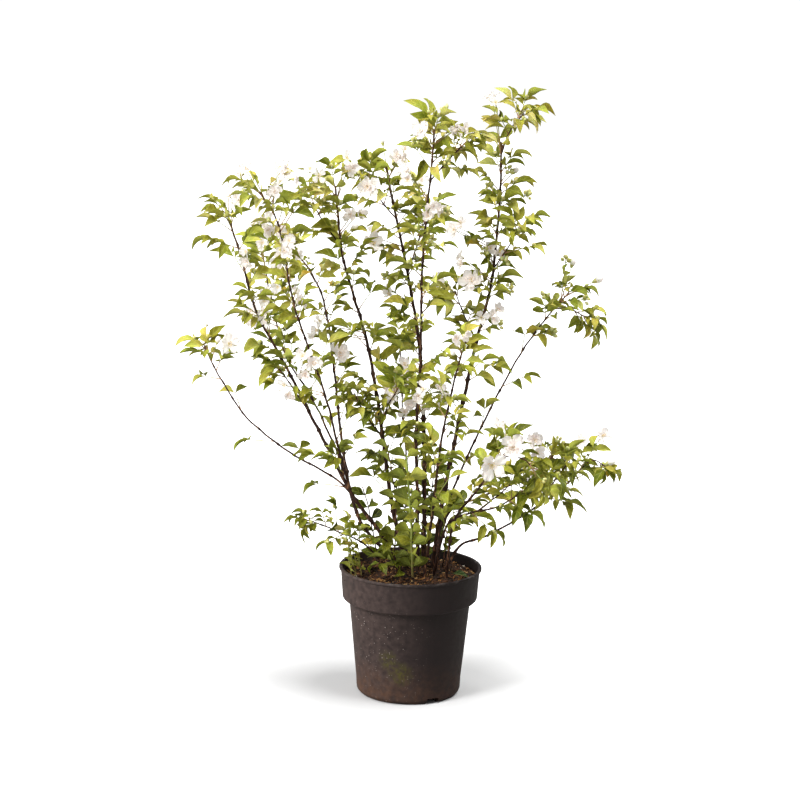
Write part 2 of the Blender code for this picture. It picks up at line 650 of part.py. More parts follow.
class Shrub:
    """The growth above the compost: for each node its pieces, which one union joins."""

    def __init__(self, space):
        self.space = space
        self.stems = {}
        self.node_of = {}
        self.pieces = {}
        self.blooms = []
        self.shoots = 0

    def add_stem(self, name, node, stem, tube):
        self.stems[name] = stem
        self.node_of[name] = node
        self.pieces.setdefault(node, [])
        self.keep(tube, name, f"{name}_stem", 0)

    def keep(self, bm, name, owner, slot):
        self.space.add(bm, owner)
        self.pieces[self.node_of[name]].append((bm, slot))

    def new_owner(self, name):
        self.shoots += 1
        return f"{name}_shoot_{self.shoots}"

    def sprig(self, name, start, way, reach, length, draw):
        """A side shoot that forks into two leaves, drawn again if it would cross what is there."""
        for trial in range(6):
            sway = Vector([draw.uniform(-1, 1) for _ in range(3)]) * (0.12 + 0.12 * trial)
            along = (way + sway).normalized()
            end = start + along * reach * (1 - 0.08 * trial)
            sizes, droops = leaf_sizes(length, draw), (draw.uniform(0.5, 1.3), draw.uniform(0.5, 1.3))
            bm = sprig(start, end, draw.uniform(0.55, 0.95), UP, sizes, droops)
            if self.space.free(bm, f"{name}_stem"):
                owner = self.new_owner(name)
                self.keep(bm, name, owner, 1)
                return owner, end, along
            bm.free()
        return None

    def leaves(self, name, owner, root, along, length, count, draw, outline=FULL_BLADE):
        """A pair of leaves, or one of them, out of the middle of a shoot."""
        for trial in range(5):
            sway = Vector([draw.uniform(-1, 1) for _ in range(3)]) * (0.15 + 0.15 * trial)
            sizes = leaf_sizes(length * (1 - 0.06 * trial), draw)[:count]
            droops = (draw.uniform(0.5, 1.3), draw.uniform(0.5, 1.3))[:count]
            lean = along if draw.random() < 0.5 or count == 2 else -along
            bm = leaf_pair(root, (lean + sway * 0.4).normalized(), draw.uniform(0.85, 1.15),
                           (UP + sway).normalized(), sizes, droops, outline)
            if self.space.free(bm, owner):
                self.keep(bm, name, f"{owner}_leaves", 1)
                return
            bm.free()

    def bud(self, name, owner, end, along, draw):
        """A round green flower bud on the end of a shoot."""
        way = (along + UP * 0.5 + Vector([draw.uniform(-1, 1) for _ in range(3)]) * 0.4).normalized()
        heights = (-SHOOT_TIP_RADIUS, BUD_STALK, BUD_STALK + BUD_RADIUS, BUD_STALK + 2 * BUD_RADIUS)
        radii = (0.7 * SHOOT_TIP_RADIUS, 0.7 * SHOOT_TIP_RADIUS, BUD_RADIUS, 0.4 * BUD_RADIUS)
        bm = stalk([(end + way * height, radius) for height, radius in zip(heights, radii)])
        if self.space.free(bm, owner):
            self.keep(bm, name, owner, 1)
        else:
            bm.free()

    def flower(self, name, middle, diameter, look, petals, draw):
        """An open flower, apart from its cane, and the shoot with its calyx that carries it there."""
        stem = self.stems[name]
        for push, back in ((push, back) for push in range(5) for back in (26, 14, 40)):
            place = middle + look * (push * 3 * MM)
            seat = place - look * (PETAL_THICKNESS + GAP)
            knee = seat - look * STALK
            start, _ = stem.at(stem.nearest(knee) - back * MM)
            if (knee - start).normalized().dot(look) < SHARPEST_KNEE:
                continue
            shape = bloom(place, look, diameter, petals, draw)
            shoot = stalk([(start, SHOOT_RADIUS), (knee, SHOOT_TIP_RADIUS),
                           (seat - look * CALYX_HEIGHT, SHOOT_TIP_RADIUS), (seat, CALYX_RADIUS)], 3)
            if self.space.free(shape) and self.space.free(shoot, f"{name}_stem"):
                owner = self.new_owner(name)
                self.keep(shoot, name, owner, 1)
                self.blooms.append(shape)
                self.space.add(shape, f"bloom_{len(self.blooms):02d}")
                self.leaves(name, owner, start.lerp(knee, 0.85), (knee - start).normalized(),
                            30 * MM, 2 if diameter > 30 * MM else 1, draw, PLAIN_BLADE)
                return
            shape.free()
            shoot.free()

    def closed_flower(self, name, middle, diameter):
        """A flower still closed in a ball, on its shoot, grown together with the cane."""
        stem = self.stems[name]
        for back in (24, 12, 40):
            start, _ = stem.at(stem.nearest(middle) - back * MM)
            bud = ball(middle, diameter / 2, 5, 3)
            shoot = stalk([(start, SHOOT_RADIUS), (middle, SHOOT_TIP_RADIUS)], 3)
            if self.space.free(bud) and self.space.free(shoot, f"{name}_stem"):
                owner = self.new_owner(name)
                self.keep(bud, name, owner, 2)
                self.keep(shoot, name, owner, 1)
                return
            bud.free()
            shoot.free()


def leaf_sizes(length, draw):
    """Length and width of each leaf of a pair."""
    lengths = [length * draw.uniform(0.82, 1.12) for _ in range(2)]
    return [(each, each * draw.uniform(0.42, 0.5)) for each in lengths]


def stems():
    """Every cane and branch of the plant with the node it belongs to."""
    found = {}
    for name, (foot_radius, tip_radius, _, _, route) in CANES.items():
        foot = Vector((*route[0], 0)) * MM
        crown = Vector((foot.x, foot.y, CROWN_TOP + 3 * MM))
        points = [crown] + [Vector(point) * MM for point in route[1:]]
        low = Vector((foot.x, foot.y, CROWN_TOP - SUNK))
        node = name if "_" in name else f"cane_{name}"
        found[name] = node, Stem(points, foot_radius * MM, tip_radius * MM, [low])
    trunk = found["a"][1]
    for name, (foot_radius, tip_radius, height, _, route) in BRANCHES.items():
        points = [trunk.at(trunk.above(height * MM))[0]] + [Vector(point) * MM for point in route]
        found[name] = "cane_a", Stem(points, foot_radius * MM, tip_radius * MM)
    return found


def grow(space):
    """Places everything that grows, in turn: canes, flowers, then leafy shoots."""
    shrub = Shrub(space)
    for name, (node, stem) in stems().items():
        shrub.add_stem(name, node, stem, stem_tube(stem))
    draw = random.Random(SEED)
    for name, place, diameter, look in BLOOMS:
        petals = 5 if diameter > 26 else 4
        shrub.flower(name, Vector(place) * MM, diameter * MM, facing(look), petals, draw)
    for name, place, diameter in CLOSED:
        shrub.closed_flower(name, Vector(place) * MM, diameter * MM)
    for name, stem in shrub.stems.items():
        first, leaf_length = (CANES.get(name) or BRANCHES[name])[2:4]
        leafy_shoots(shrub, name, stem, stem.above(first * MM), leaf_length * MM, draw)
    return shrub


def leafy_shoots(shrub, name, stem, start, leaf_length, draw):
    """Shoots up the cane, turned a quarter from one pair to the next, one of each pair here."""
    length = start + (0 if name in CANES else 30 * MM)
    turn = draw.uniform(0, math.pi)
    soft = "_" in name
    step = 0
    while length < stem.length - 14 * MM:
        point, along = stem.at(length)
        if soft:
            shrub.leaves(name, f"{name}_stem", point, along, leaf_length, 2, draw)
            length += NODE_SPACING * 0.6
            continue
        side, normal = frame_on(along, UP)
        turn += math.pi / 2 + draw.uniform(-0.3, 0.3)
        hand = 1 if step // 2 % 2 else -1
        out = (side * math.cos(turn) + normal * math.sin(turn)) * hand
        lean = draw.uniform(0.75, 1.05)
        way = (along * math.cos(lean) + out * math.sin(lean) + UP * 0.15).normalized()
        reach = (44 - 14 * length / stem.length) * draw.uniform(0.8, 1.25) * MM
        grown = shrub.sprig(name, point, way, reach, leaf_length, draw)
        if grown:
            owner, end, along = grown
            if draw.random() < MIDDLE_LEAF_SHARE:
                shrub.leaves(name, owner, point.lerp(end, 0.55), along, leaf_length, 1, draw,
                             PLAIN_BLADE)
            if draw.random() < BUD_SHARE:
                shrub.bud(name, owner, end, along, draw)
        length += NODE_SPACING * draw.uniform(0.85, 1.15)
        step += 1
    tip, along = stem.at(stem.length - 3 * MM)
    shrub.leaves(name, f"{name}_stem", tip, along, leaf_length, 2, draw)


def joined(node, pieces, parts, materials):
    """One closed body of a cane and all that grows on it."""
    tube, rest = pieces[0], pieces[1:]
    body = link_mesh(node, mesh_from(tube[0], node, tube[1]), parts, *materials)
    if not rest:
        return body
    growth = new_collection("growth", helper=True)
    for bm, slot in rest:
        piece = link_mesh("growth_piece", mesh_from(bm, "growth_piece", slot), growth, *materials)
        piece.hide_render = True
    boolean(body, "UNION", growth)
    clear_collection(growth)
    return body


def fallen_leaf(parts, ground, material):
    """A dark leaf lying on the compost, let down along Z until it all but touches."""
    across, depth, turn = FALLEN_LEAF_PLACE
    above = Vector((across * MM, depth * MM, POT_HEIGHT))
    place, slope, _, _ = ground.ray_cast(above, -UP)
    length, width = FALLEN_LEAF
    along = Vector((math.cos(math.radians(turn)), math.sin(math.radians(turn)), 0))
    along = (along - slope * along.dot(slope)).normalized()
    bm = leaf_pair(place + slope * 3 * BLADE_THICKNESS - along * length / 2, along, 0, slope,
                   [(length, width)], [0.25])
    drops = [vertex.co.z - ground.ray_cast(vertex.co, -UP)[0].z for vertex in bm.verts]
    bmesh.ops.translate(bm, verts=bm.verts, vec=-UP * (min(drops) - 1.2 * GAP))
    link_mesh("fallen_leaf", mesh_from(bm, "fallen_leaf"), parts, material)


def main():
    for obj in list(bpy.data.objects):
        bpy.data.objects.remove(obj)
    parts = new_collection("potted_mock_orange")
    bark = principled("cane_bark", (0.075, 0.038, 0.032), 0.75)
    green = principled("leaf_green", (0.20, 0.32, 0.045), 0.5)
    white = principled("petal_white", (0.82, 0.80, 0.77), 0.6)
    dark = principled("old_leaf_green", (0.03, 0.07, 0.018), 0.45)
    container = pot(parts)
    crown = [(Vector((*route[0], 0)) * MM, radius * MM)
             for radius, _, _, _, route in CANES.values()]
    compost = soil(parts, crown)
    space = Space()
    for obj in (container, compost):
        bm = bmesh.new()
        bm.from_mesh(obj.data)
        space.add(bm, "ground")
        if obj is compost:
            fallen_leaf(parts, BVHTree.FromBMesh(bm), dark)
        bm.free()
    shrub = grow(space)
    for node, pieces in shrub.pieces.items():
        joined(node, pieces, parts, (bark, green, white))
    for number, shape in enumerate(shrub.blooms, 1):
        link_mesh(f"bloom_{number:02d}", mesh_from(shape, "bloom"), parts, white)


main()
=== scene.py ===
import json
import math
import random

import bmesh
import bpy
from mathutils import Matrix, Vector, noise
from mathutils.bvhtree import BVHTree

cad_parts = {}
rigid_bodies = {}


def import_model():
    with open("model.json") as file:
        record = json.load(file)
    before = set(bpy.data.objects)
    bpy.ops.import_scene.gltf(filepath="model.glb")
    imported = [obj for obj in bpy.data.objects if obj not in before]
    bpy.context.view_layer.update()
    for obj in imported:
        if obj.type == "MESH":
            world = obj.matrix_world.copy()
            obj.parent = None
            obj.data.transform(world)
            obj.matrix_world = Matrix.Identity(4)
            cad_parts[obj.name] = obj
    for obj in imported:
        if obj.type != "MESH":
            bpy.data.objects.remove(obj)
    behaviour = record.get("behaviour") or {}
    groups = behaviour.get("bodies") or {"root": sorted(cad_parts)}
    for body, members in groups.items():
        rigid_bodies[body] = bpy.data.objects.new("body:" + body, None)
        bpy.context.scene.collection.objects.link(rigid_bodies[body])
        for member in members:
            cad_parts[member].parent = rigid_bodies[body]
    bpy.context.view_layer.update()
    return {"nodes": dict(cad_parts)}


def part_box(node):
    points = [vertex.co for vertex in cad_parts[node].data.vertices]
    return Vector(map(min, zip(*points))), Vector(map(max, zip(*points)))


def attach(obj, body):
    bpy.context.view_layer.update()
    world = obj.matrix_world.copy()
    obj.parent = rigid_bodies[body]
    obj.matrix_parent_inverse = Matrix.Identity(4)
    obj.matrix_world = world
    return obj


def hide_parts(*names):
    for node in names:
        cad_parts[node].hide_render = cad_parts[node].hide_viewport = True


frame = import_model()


# Floor, light and camera
# A young shrub in its nursery pot stands on a plain white studio floor, lit softly from the front left.
# The camera stands 5 m in front with a long lens, looking a little down on the pot's rim.

MM = 0.001
UP = Vector((0, 0, 1))


def linear(code, alpha=1.0):
    """The linear colour of an sRGB hex code."""
    parts = [int(code[i:i + 2], 16) / 255 for i in (1, 3, 5)]
    return (*[p / 12.92 if p <= 0.04045 else ((p + 0.055) / 1.055) ** 2.4 for p in parts], alpha)


def add(tree, kind, inputs=(), **settings):
    """A new node with its settings, and each named input given its value or linked to an output."""
    node = tree.nodes.new(kind)
    for name, value in settings.items():
        setattr(node, name, value)
    for key, value in dict(inputs).items():
        socket = node.inputs[key]
        if isinstance(value, bpy.types.NodeSocket):
            tree.links.new(value, socket)
        else:
            socket.default_value = value
    return node


def new_material(name, roughness, ior=1.45):
    """A material with a Principled shader, and its tree, shader and Object coordinates."""
    material = bpy.data.materials.new(name)
    material.use_nodes = True
    tree = material.node_tree
    shader = tree.nodes["Principled BSDF"]
    shader.inputs["Roughness"].default_value = roughness
    shader.inputs["IOR"].default_value = ior
    return material, tree, shader, add(tree, "ShaderNodeTexCoord").outputs["Object"]


def grain(tree, where, size_mm, detail=3.0, stretch=(1, 1, 1)):
    """Noise whose lumps are about size_mm across, longer by stretch along each axis."""
    scale = [1 / (size_mm * MM * along) for along in stretch]
    scaled = add(tree, "ShaderNodeMapping", {"Vector": where, "Scale": scale}).outputs["Vector"]
    return add(tree, "ShaderNodeTexNoise", {"Vector": scaled, "Scale": 1.0, "Detail": detail}).outputs["Fac"]


def ranged(tree, value, low, high, to_low=0.0, to_high=1.0):
    """The value spread from low..high to to_low..to_high, and held at its ends."""
    node = add(tree, "ShaderNodeMapRange", {"Value": value, "From Min": low, "From Max": high,
                                            "To Min": to_low, "To Max": to_high})
    return node.outputs["Result"]


def mixed(tree, factor, a, b, blend="MIX"):
    """Colour a turned towards colour b by the factor. Each is a hex code or an output."""
    node = add(tree, "ShaderNodeMix", data_type="RGBA", blend_type=blend)
    for socket, value in ((node.inputs[0], factor), (node.inputs[6], a), (node.inputs[7], b)):
        if isinstance(value, bpy.types.NodeSocket):
            tree.links.new(value, socket)
        else:
            socket.default_value = linear(value) if isinstance(value, str) else value
    return node.outputs[2]


def product(tree, a, b):
    return add(tree, "ShaderNodeMath", {0: a, 1: b}, operation="MULTIPLY").outputs[0]


def bumped(tree, shader, height, deep_mm, strength=1.0):
    """Relief on the shader from a height between 0 and 1, deep_mm from lowest to highest."""
    bump = add(tree, "ShaderNodeBump", {"Height": height, "Distance": deep_mm * MM, "Strength": strength})
    tree.links.new(bump.outputs["Normal"], shader.inputs["Normal"])


FLOOR_SIZE = 14.0
bm = bmesh.new()
bmesh.ops.create_grid(bm, x_segments=1, y_segments=1, size=FLOOR_SIZE / 2)
floor_mesh = bpy.data.meshes.new("floor")
bm.to_mesh(floor_mesh)
bm.free()
floor = bpy.data.objects.new("floor", floor_mesh)
bpy.context.scene.collection.objects.link(floor)
# Matt white paper that shows only the soft shadow round the pot, and glows out into a pure white studio
# further away. It throws back less light than the camera sees on it, as if the sheet were small.
NEAR_PAPER, FAR_PAPER = 0.16, 0.6
paper, tree, shader, where = new_material("white_studio_paper", 0.9)
white = mixed(tree, grain(tree, where, 40), "#d6d6d6", "#d8d8d8")
seen = add(tree, "ShaderNodeLightPath").outputs["Is Camera Ray"]
tree.links.new(mixed(tree, seen, "#8c8a86", white), shader.inputs["Base Color"])
away = add(tree, "ShaderNodeVectorMath", {0: where}, operation="LENGTH").outputs["Value"]
glow = product(tree, seen, ranged(tree, away, NEAR_PAPER, FAR_PAPER))
tree.links.new(glow, shader.inputs["Emission Strength"])
shader.inputs["Emission Color"].default_value = linear("#ffffff")
floor.data.materials.append(paper)

# The backdrop is white to the camera. It lights the plant more from the left than from the right.
AMBIENT_LEFT, AMBIENT_RIGHT = 1.05, 0.26
world = bpy.data.worlds.new("studio")
bpy.context.scene.world = world
world.use_nodes = True
tree = world.node_tree
towards = add(tree, "ShaderNodeSeparateXYZ", {"Vector": add(tree, "ShaderNodeTexCoord").outputs["Generated"]})
ambient = ranged(tree, towards.outputs["X"], -0.95, 0.1, AMBIENT_LEFT, AMBIENT_RIGHT)
seen = add(tree, "ShaderNodeLightPath").outputs["Is Camera Ray"]
strength = add(tree, "ShaderNodeMix", {0: seen, 2: ambient, 3: 1.05}, data_type="FLOAT").outputs[0]
tree.links.new(strength, tree.nodes["Background"].inputs["Strength"])
tree.nodes["Background"].inputs["Color"].default_value = linear("#ffffff")
bpy.context.scene.view_settings.view_transform = "Standard"

# name: kind, strength, width as the angle of a sun or the side of a softbox in metres, place
LIGHTS = {
    "overhead_light": ("SUN", 3.7, math.radians(35), (1.3, -0.4, 3.6)),
    "left_softbox": ("AREA", 150, 1.3, (-2.5, -2.2, 2.5)),
}
AIM = Vector((0, 0, 0.5))
for name, (kind, strength, width, place) in LIGHTS.items():
    lamp = bpy.data.lights.new(name, kind)
    lamp.energy = strength
    if kind == "SUN":
        lamp.angle = width
    else:
        lamp.size = width
    holder = bpy.data.objects.new(name, lamp)
    holder.location = place
    holder.rotation_euler = (AIM - Vector(place)).to_track_quat("-Z", "Y").to_euler()
    bpy.context.scene.collection.objects.link(holder)

CAMERA_PLACE = Vector((0, -5.0, 1.6289))
PITCH, YAW, ROLL = math.radians(12.686), math.radians(-0.261), math.radians(1.085)
forward = Vector((math.sin(YAW) * math.cos(PITCH), math.cos(YAW) * math.cos(PITCH), -math.sin(PITCH)))
level = forward.cross(UP).normalized()
upright = level.cross(forward)
right = level * math.cos(ROLL) + upright * math.sin(ROLL)
top = upright * math.cos(ROLL) - level * math.sin(ROLL)
camera = bpy.data.objects.new("camera", bpy.data.cameras.new("camera"))
camera.data.sensor_width = 36
camera.data.lens = 138.78
camera.matrix_world = Matrix.Translation(CAMERA_PLACE) @ Matrix((right, top, -forward)).transposed().to_4x4()
bpy.context.scene.collection.objects.link(camera)
bpy.context.scene.camera = camera


# Pot
# A thin-walled 7.5 litre nursery pot, injection moulded in recycled dark polypropylene: a rolled lip,
# a stacking collar, a tapered body with a faint parting line, and a flat floor cut by drainage slots.

_, pot_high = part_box("pot")
RIM_RADIUS = pot_high.x
POT_HEIGHT = pot_high.z
WALL = 2.4 * MM
COLLAR_FOOT = POT_HEIGHT - 54 * MM
COLLAR_FOOT_RADIUS = 113.3 * MM
BODY_TOP_RADIUS = 102 * MM
BASE_RADIUS = 87 * MM
COLLAR_TOP_RADIUS = RIM_RADIUS - 3 * MM
POT_STEPS = 144
SLOT_SIZE = Vector((100, 22, 20)) * MM
SLOT_ANGLES = (-61, 59, 179)


def object_from(bm, name, *materials):
    """A new object in the scene from the bmesh, which is freed."""
    mesh = bpy.data.meshes.new(name)
    bm.to_mesh(mesh)
    bm.free()
    obj = bpy.data.objects.new(name, mesh)
    for material in materials:
        mesh.materials.append(material)
    bpy.context.scene.collection.objects.link(obj)
    return obj


def baked(obj):
    """Turns the object's modifiers into its mesh."""
    evaluated = obj.evaluated_get(bpy.context.evaluated_depsgraph_get())
    mesh = bpy.data.meshes.new_from_object(evaluated)
    obj.modifiers.clear()
    obj.data = mesh
    return obj


def rounded(corners, steps=5):
    """Points through (radius, height, rounding) corners, in millimetres, each rounded by a short curve."""
    spots = [Vector(corner[:2]) for corner in corners]
    points = []
    for i, (spot, corner) in enumerate(zip(spots, corners)):
        if not corner[2]:
            points.append(spot)
            continue
        start = spot + (spots[i - 1] - spot).normalized() * corner[2]
        end = spot + (spots[i + 1] - spot).normalized() * corner[2]
        for k in range(steps + 1):
            t = k / steps
            points.append(start * (1 - t) ** 2 + spot * (2 * t * (1 - t)) + end * t ** 2)
    return points


def turned(name, profile, steps, material):
    """The profile of (radius, height) points turned about Z into a smooth closed body."""
    mesh = bpy.data.meshes.new(name)
    edges = [(i, i + 1) for i in range(len(profile) - 1)]
    mesh.from_pydata([(p.x * MM, 0, p.y * MM) for p in profile], edges, [])
    mesh.materials.append(material)
    obj = bpy.data.objects.new(name, mesh)
    bpy.context.scene.collection.objects.link(obj)
    screw = obj.modifiers.new("turn", "SCREW")
    screw.steps = screw.render_steps = steps
    screw.use_merge_vertices = True
    screw.merge_threshold = 0.00001
    return baked(obj)


def seated(obj, slot, *nodes):
    """The piece rides on the plant's one body and stands for its CAD nodes, which it hides. The slot is not
    used.
    """
    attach(obj, "root")
    if nodes:
        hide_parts(*nodes)
    return obj


# Recycled polypropylene, satin, with a fine moulded peel. A winter outdoors leaves dry dust, white lime
# specks on the weather side, brown splashed soil towards the ground and a little green algae. The pale dust
# is laid on thickly only down the left side, towards the lamps, so it is partly painted light.
plastic, tree, shader, where = new_material("black_recycled_polypropylene", 0.5, 1.49)
shader.inputs["Specular IOR Level"].default_value = 0.25
split = add(tree, "ShaderNodeSeparateXYZ", {"Vector": where})
# The pot's left side: the weather side for specks and splashes, and also the side painted lighter as if lit.
weather_and_painted_light_side = ranged(tree, split.outputs["X"], 0.05, -0.085)
streaks = grain(tree, where, 5, 4, (1, 1, 14))
color = mixed(tree, streaks, "#1c1516", "#251c1c")
dust = ranged(tree, grain(tree, where, 9, 6), 0.25, 0.8, 0.1, 0.6)
# Pale dust painted far stronger on the left: partly real dust, partly a painted lighter side where the light
# falls.
color = mixed(tree, product(tree, dust, ranged(tree, weather_and_painted_light_side, 0.1, 1, 0.06, 0.9)), color, "#75625c")
low_down = ranged(tree, split.outputs["Z"], 0.075, 0.0)
splash = product(tree, low_down, ranged(tree, grain(tree, where, 11, 7), 0.25, 0.65))
color = mixed(tree, product(tree, splash, ranged(tree, weather_and_painted_light_side, 0, 1, 0.3, 0.8)), color, "#6a4a36")
ALGAE_PATCHES = (((-0.014, -0.094, 0.055), 0.026), ((-0.036, -0.090, 0.078), 0.022))
for middle, reach in ALGAE_PATCHES:
    away = add(tree, "ShaderNodeVectorMath", {0: where, 1: middle}, operation="DISTANCE").outputs["Value"]
    spread = product(tree, ranged(tree, away, reach, 0.1 * reach),
                     ranged(tree, grain(tree, where, 6, 6), 0.32, 0.66))
    color = mixed(tree, product(tree, spread, 0.8), color, "#55521a")
specks = add(tree, "ShaderNodeTexVoronoi", {"Vector": where, "Scale": 1 / (4.4 * MM)})
chosen = add(tree, "ShaderNodeSeparateColor", {"Color": specks.outputs["Color"]}).outputs["Red"]
dot = add(tree, "ShaderNodeMath", {0: chosen, 1: 0.24, 2: -0.02}, operation="MULTIPLY_ADD").outputs[0]
dot = add(tree, "ShaderNodeMath", {0: specks.outputs["Distance"], 1: dot}, operation="LESS_THAN").outputs[0]
body_only = ranged(tree, split.outputs["Z"], COLLAR_FOOT + 8 * MM, COLLAR_FOOT - 10 * MM, 0.12, 1.0)
patches = ranged(tree, grain(tree, where, 26, 4), 0.38, 0.55)
zone = product(tree, product(tree, weather_and_painted_light_side, body_only), patches)
color = mixed(tree, product(tree, product(tree, dot, zone), 0.75), color, "#b9aca4")
scuff = product(tree, ranged(tree, split.outputs["Z"], POT_HEIGHT - 5 * MM, POT_HEIGHT),
                ranged(tree, grain(tree, where, 4, 4, (3, 3, 1)), 0.5, 0.7))
color = mixed(tree, product(tree, scuff, 0.5), color, "#77706d")
tree.links.new(color, shader.inputs["Base Color"])
tree.links.new(ranged(tree, dust, 0.0, 0.5, 0.42, 0.62), shader.inputs["Roughness"])
peel = grain(tree, where, 1.1, 2)
bumped(tree, shader, mixed(tree, 0.35, peel, streaks), 0.12, 0.5)

height, foot = POT_HEIGHT / MM, COLLAR_FOOT / MM
wall = WALL / MM
profile = rounded((
    (0, 3, 0),
    (86.9 - wall, 3, 2.0),
    (BODY_TOP_RADIUS / MM - wall, foot - 3.6 + wall, 1.5),
    (COLLAR_FOOT_RADIUS / MM - wall, foot + wall, 1.5),
    (COLLAR_TOP_RADIUS / MM - wall, height, 0.5),
    (RIM_RADIUS / MM, height, 1.1),
    (RIM_RADIUS / MM, height - 3.6, 0.9),
    (COLLAR_TOP_RADIUS / MM, height - 4.2, 0.7),
    (COLLAR_FOOT_RADIUS / MM + 0.1, foot + 1.4, 1.4),
    (COLLAR_FOOT_RADIUS / MM - 2.2, foot - 0.9, 1.0),
    (BODY_TOP_RADIUS / MM, foot - 3.4, 1.6),
    (BASE_RADIUS / MM + 1.3, 26, 0),
    (BASE_RADIUS / MM + 0.3, 6, 3.5),
    (BASE_RADIUS / MM - 5.5, 0, 2.6),
    (BASE_RADIUS / MM - 13, 0, 0.6),
    (BASE_RADIUS / MM - 14, 1.1, 0.6),
    (14, 1.1, 0.5),
    (12, 0.3, 0.5),
    (0, 0.3, 0),
))
pot = turned("nursery_pot", profile, POT_STEPS, plastic)
slots = bpy.data.collections.new("slot_cutters")
bpy.context.scene.collection.children.link(slots)
for angle in SLOT_ANGLES:
    bm = bmesh.new()
    bmesh.ops.create_cube(bm, size=1)
    place = Matrix.Rotation(math.radians(angle), 4, "Z") @ Matrix.Translation((BASE_RADIUS, 0, 0))
    bmesh.ops.transform(bm, matrix=place @ Matrix.Diagonal((*SLOT_SIZE, 1)), verts=bm.verts)
    upright_edges = [e for e in bm.edges if all(v.co.z > 0 for v in e.verts)]
    bmesh.ops.bevel(bm, geom=upright_edges, offset=1.2 * MM, segments=3, profile=0.5, affect="EDGES")
    cutter = object_from(bm, "slot_cutter")
    bpy.context.scene.collection.objects.unlink(cutter)
    slots.objects.link(cutter)
cut = pot.modifiers.new("drainage_slots", "BOOLEAN")
cut.operand_type = "COLLECTION"
cut.collection = slots
baked(pot)
pot.data.shade_smooth()
pot.data.set_sharp_from_angle(angle=math.radians(32))
seated(pot, "pot_plastic", "pot")


# Compost
# Composted pine bark and peat fill the pot to 15 mm under the lip, a little mounded round the crown.
# The body is one packed mass; loose shards of bark, fine crumbs and a few pale grit stones lie on it.

SOIL_TOP = POT_HEIGHT - 15 * MM
SOIL_RELIEF = 2.5 * MM
CROWN_RISE, CROWN_RADIUS = 7 * MM, 45 * MM
SOIL_RINGS, SOIL_SPOKES = 44, 120
SOIL_EDGE = COLLAR_TOP_RADIUS - WALL - 2.0 * MM


def soil_height(across, depth):
    """Height of the compost's top at a place: large lumps, the crown's mound, and fine clods."""
    radius = math.hypot(across, depth)
    lumps = noise.noise(Vector((across, depth, SOIL_TOP)) / (18 * MM)) * 2 * SOIL_RELIEF
    clods = noise.noise(Vector((across, depth, 0)) / (5 * MM)) * 0.9 * MM
    sink = min(max((radius - 84 * MM) / (30 * MM), 0), 1)
    mound = CROWN_RISE * math.exp(-((radius / CROWN_RADIUS) ** 2))
    return SOIL_TOP + lumps * (1 - sink) + clods + mound - SOIL_RELIEF * sink


# Wet bark and peat: near black as painted shade between the shards, red-brown flecks as painted light where
# light reaches.
peat, tree, shader, where = new_material("bark_and_peat_compost", 0.95)
color = mixed(tree, ranged(tree, grain(tree, where, 3.0, 6), 0.35, 0.7), "#150e08", "#3e2713")
color = mixed(tree, ranged(tree, grain(tree, where, 1.1, 3), 0.62, 0.74), color, "#8b5f38")
tree.links.new(color, shader.inputs["Base Color"])
bumped(tree, shader, grain(tree, where, 1.4, 6), 1.2)

bm = bmesh.new()
middle = bm.verts.new((0, 0, soil_height(0, 0)))
rings = []
for k in range(1, SOIL_RINGS + 1):
    radius = SOIL_EDGE * k / SOIL_RINGS
    angles = [2 * math.pi * i / SOIL_SPOKES for i in range(SOIL_SPOKES)]
    spots = [(radius * math.cos(a), radius * math.sin(a)) for a in angles]
    rings.append([bm.verts.new((x, y, soil_height(x, y))) for x, y in spots])
for radius, z in ((COLLAR_FOOT_RADIUS - WALL - 1.2 * MM, COLLAR_FOOT + 3 * MM),
                  (BODY_TOP_RADIUS - WALL - 1.2 * MM, COLLAR_FOOT - 0.5 * MM),
                  (BASE_RADIUS - WALL - 1.0 * MM, 3.4 * MM)):
    rings.append([bm.verts.new((radius * math.cos(a), radius * math.sin(a), z)) for a in angles])
for a, b in zip(rings[0], rings[0][1:] + rings[0][:1]):
    bm.faces.new((middle, a, b))
for ring, outer in zip(rings, rings[1:]):
    for i in range(SOIL_SPOKES):
        j = (i + 1) % SOIL_SPOKES
        bm.faces.new((ring[i], outer[i], outer[j], ring[j]))
bm.faces.new(rings[-1][::-1])
bmesh.ops.recalc_face_normals(bm, faces=bm.faces)
for face in bm.faces:
    face.smooth = True
compost = object_from(bm, "compost_body", peat)
cut = compost.modifiers.new("drainage_slots", "BOOLEAN")
cut.operand_type = "COLLECTION"
cut.collection = slots
seated(baked(compost), "compost", "soil")
for cutter in list(slots.objects):
    bpy.data.objects.remove(cutter)
bpy.data.collections.remove(slots)


def new_tree(name, inputs):
    """A Geometry Nodes tree with named inputs, (name, socket type, default), and its two ends."""
    tree = bpy.data.node_groups.new(name, "GeometryNodeTree")
    tree.interface.new_socket("Geometry", in_out="INPUT", socket_type="NodeSocketGeometry")
    for label, kind, default in inputs:
        socket = tree.interface.new_socket(label, in_out="INPUT", socket_type=kind)
        if default is not None:
            socket.default_value = default
    tree.interface.new_socket("Geometry", in_out="OUTPUT", socket_type="NodeSocketGeometry")
    return tree, add(tree, "NodeGroupInput").outputs, add(tree, "NodeGroupOutput")


def made_by(tree, name, carrier, values):
    """The plain mesh that the tree makes of the carrier with these inputs. The carrier goes."""
    modifier = carrier.modifiers.new(tree.name, "NODES")
    modifier.node_group = tree
    for item in tree.interface.items_tree:
        if item.in_out == "INPUT" and item.name in values:
            modifier[item.identifier] = values[item.name]
    evaluated = carrier.evaluated_get(bpy.context.evaluated_depsgraph_get())
    mesh = bpy.data.meshes.new_from_object(evaluated)
    bpy.data.meshes.remove(carrier.data)
    mesh.name = name
    obj = bpy.data.objects.new(name, mesh)
    bpy.context.scene.collection.objects.link(obj)
    return obj


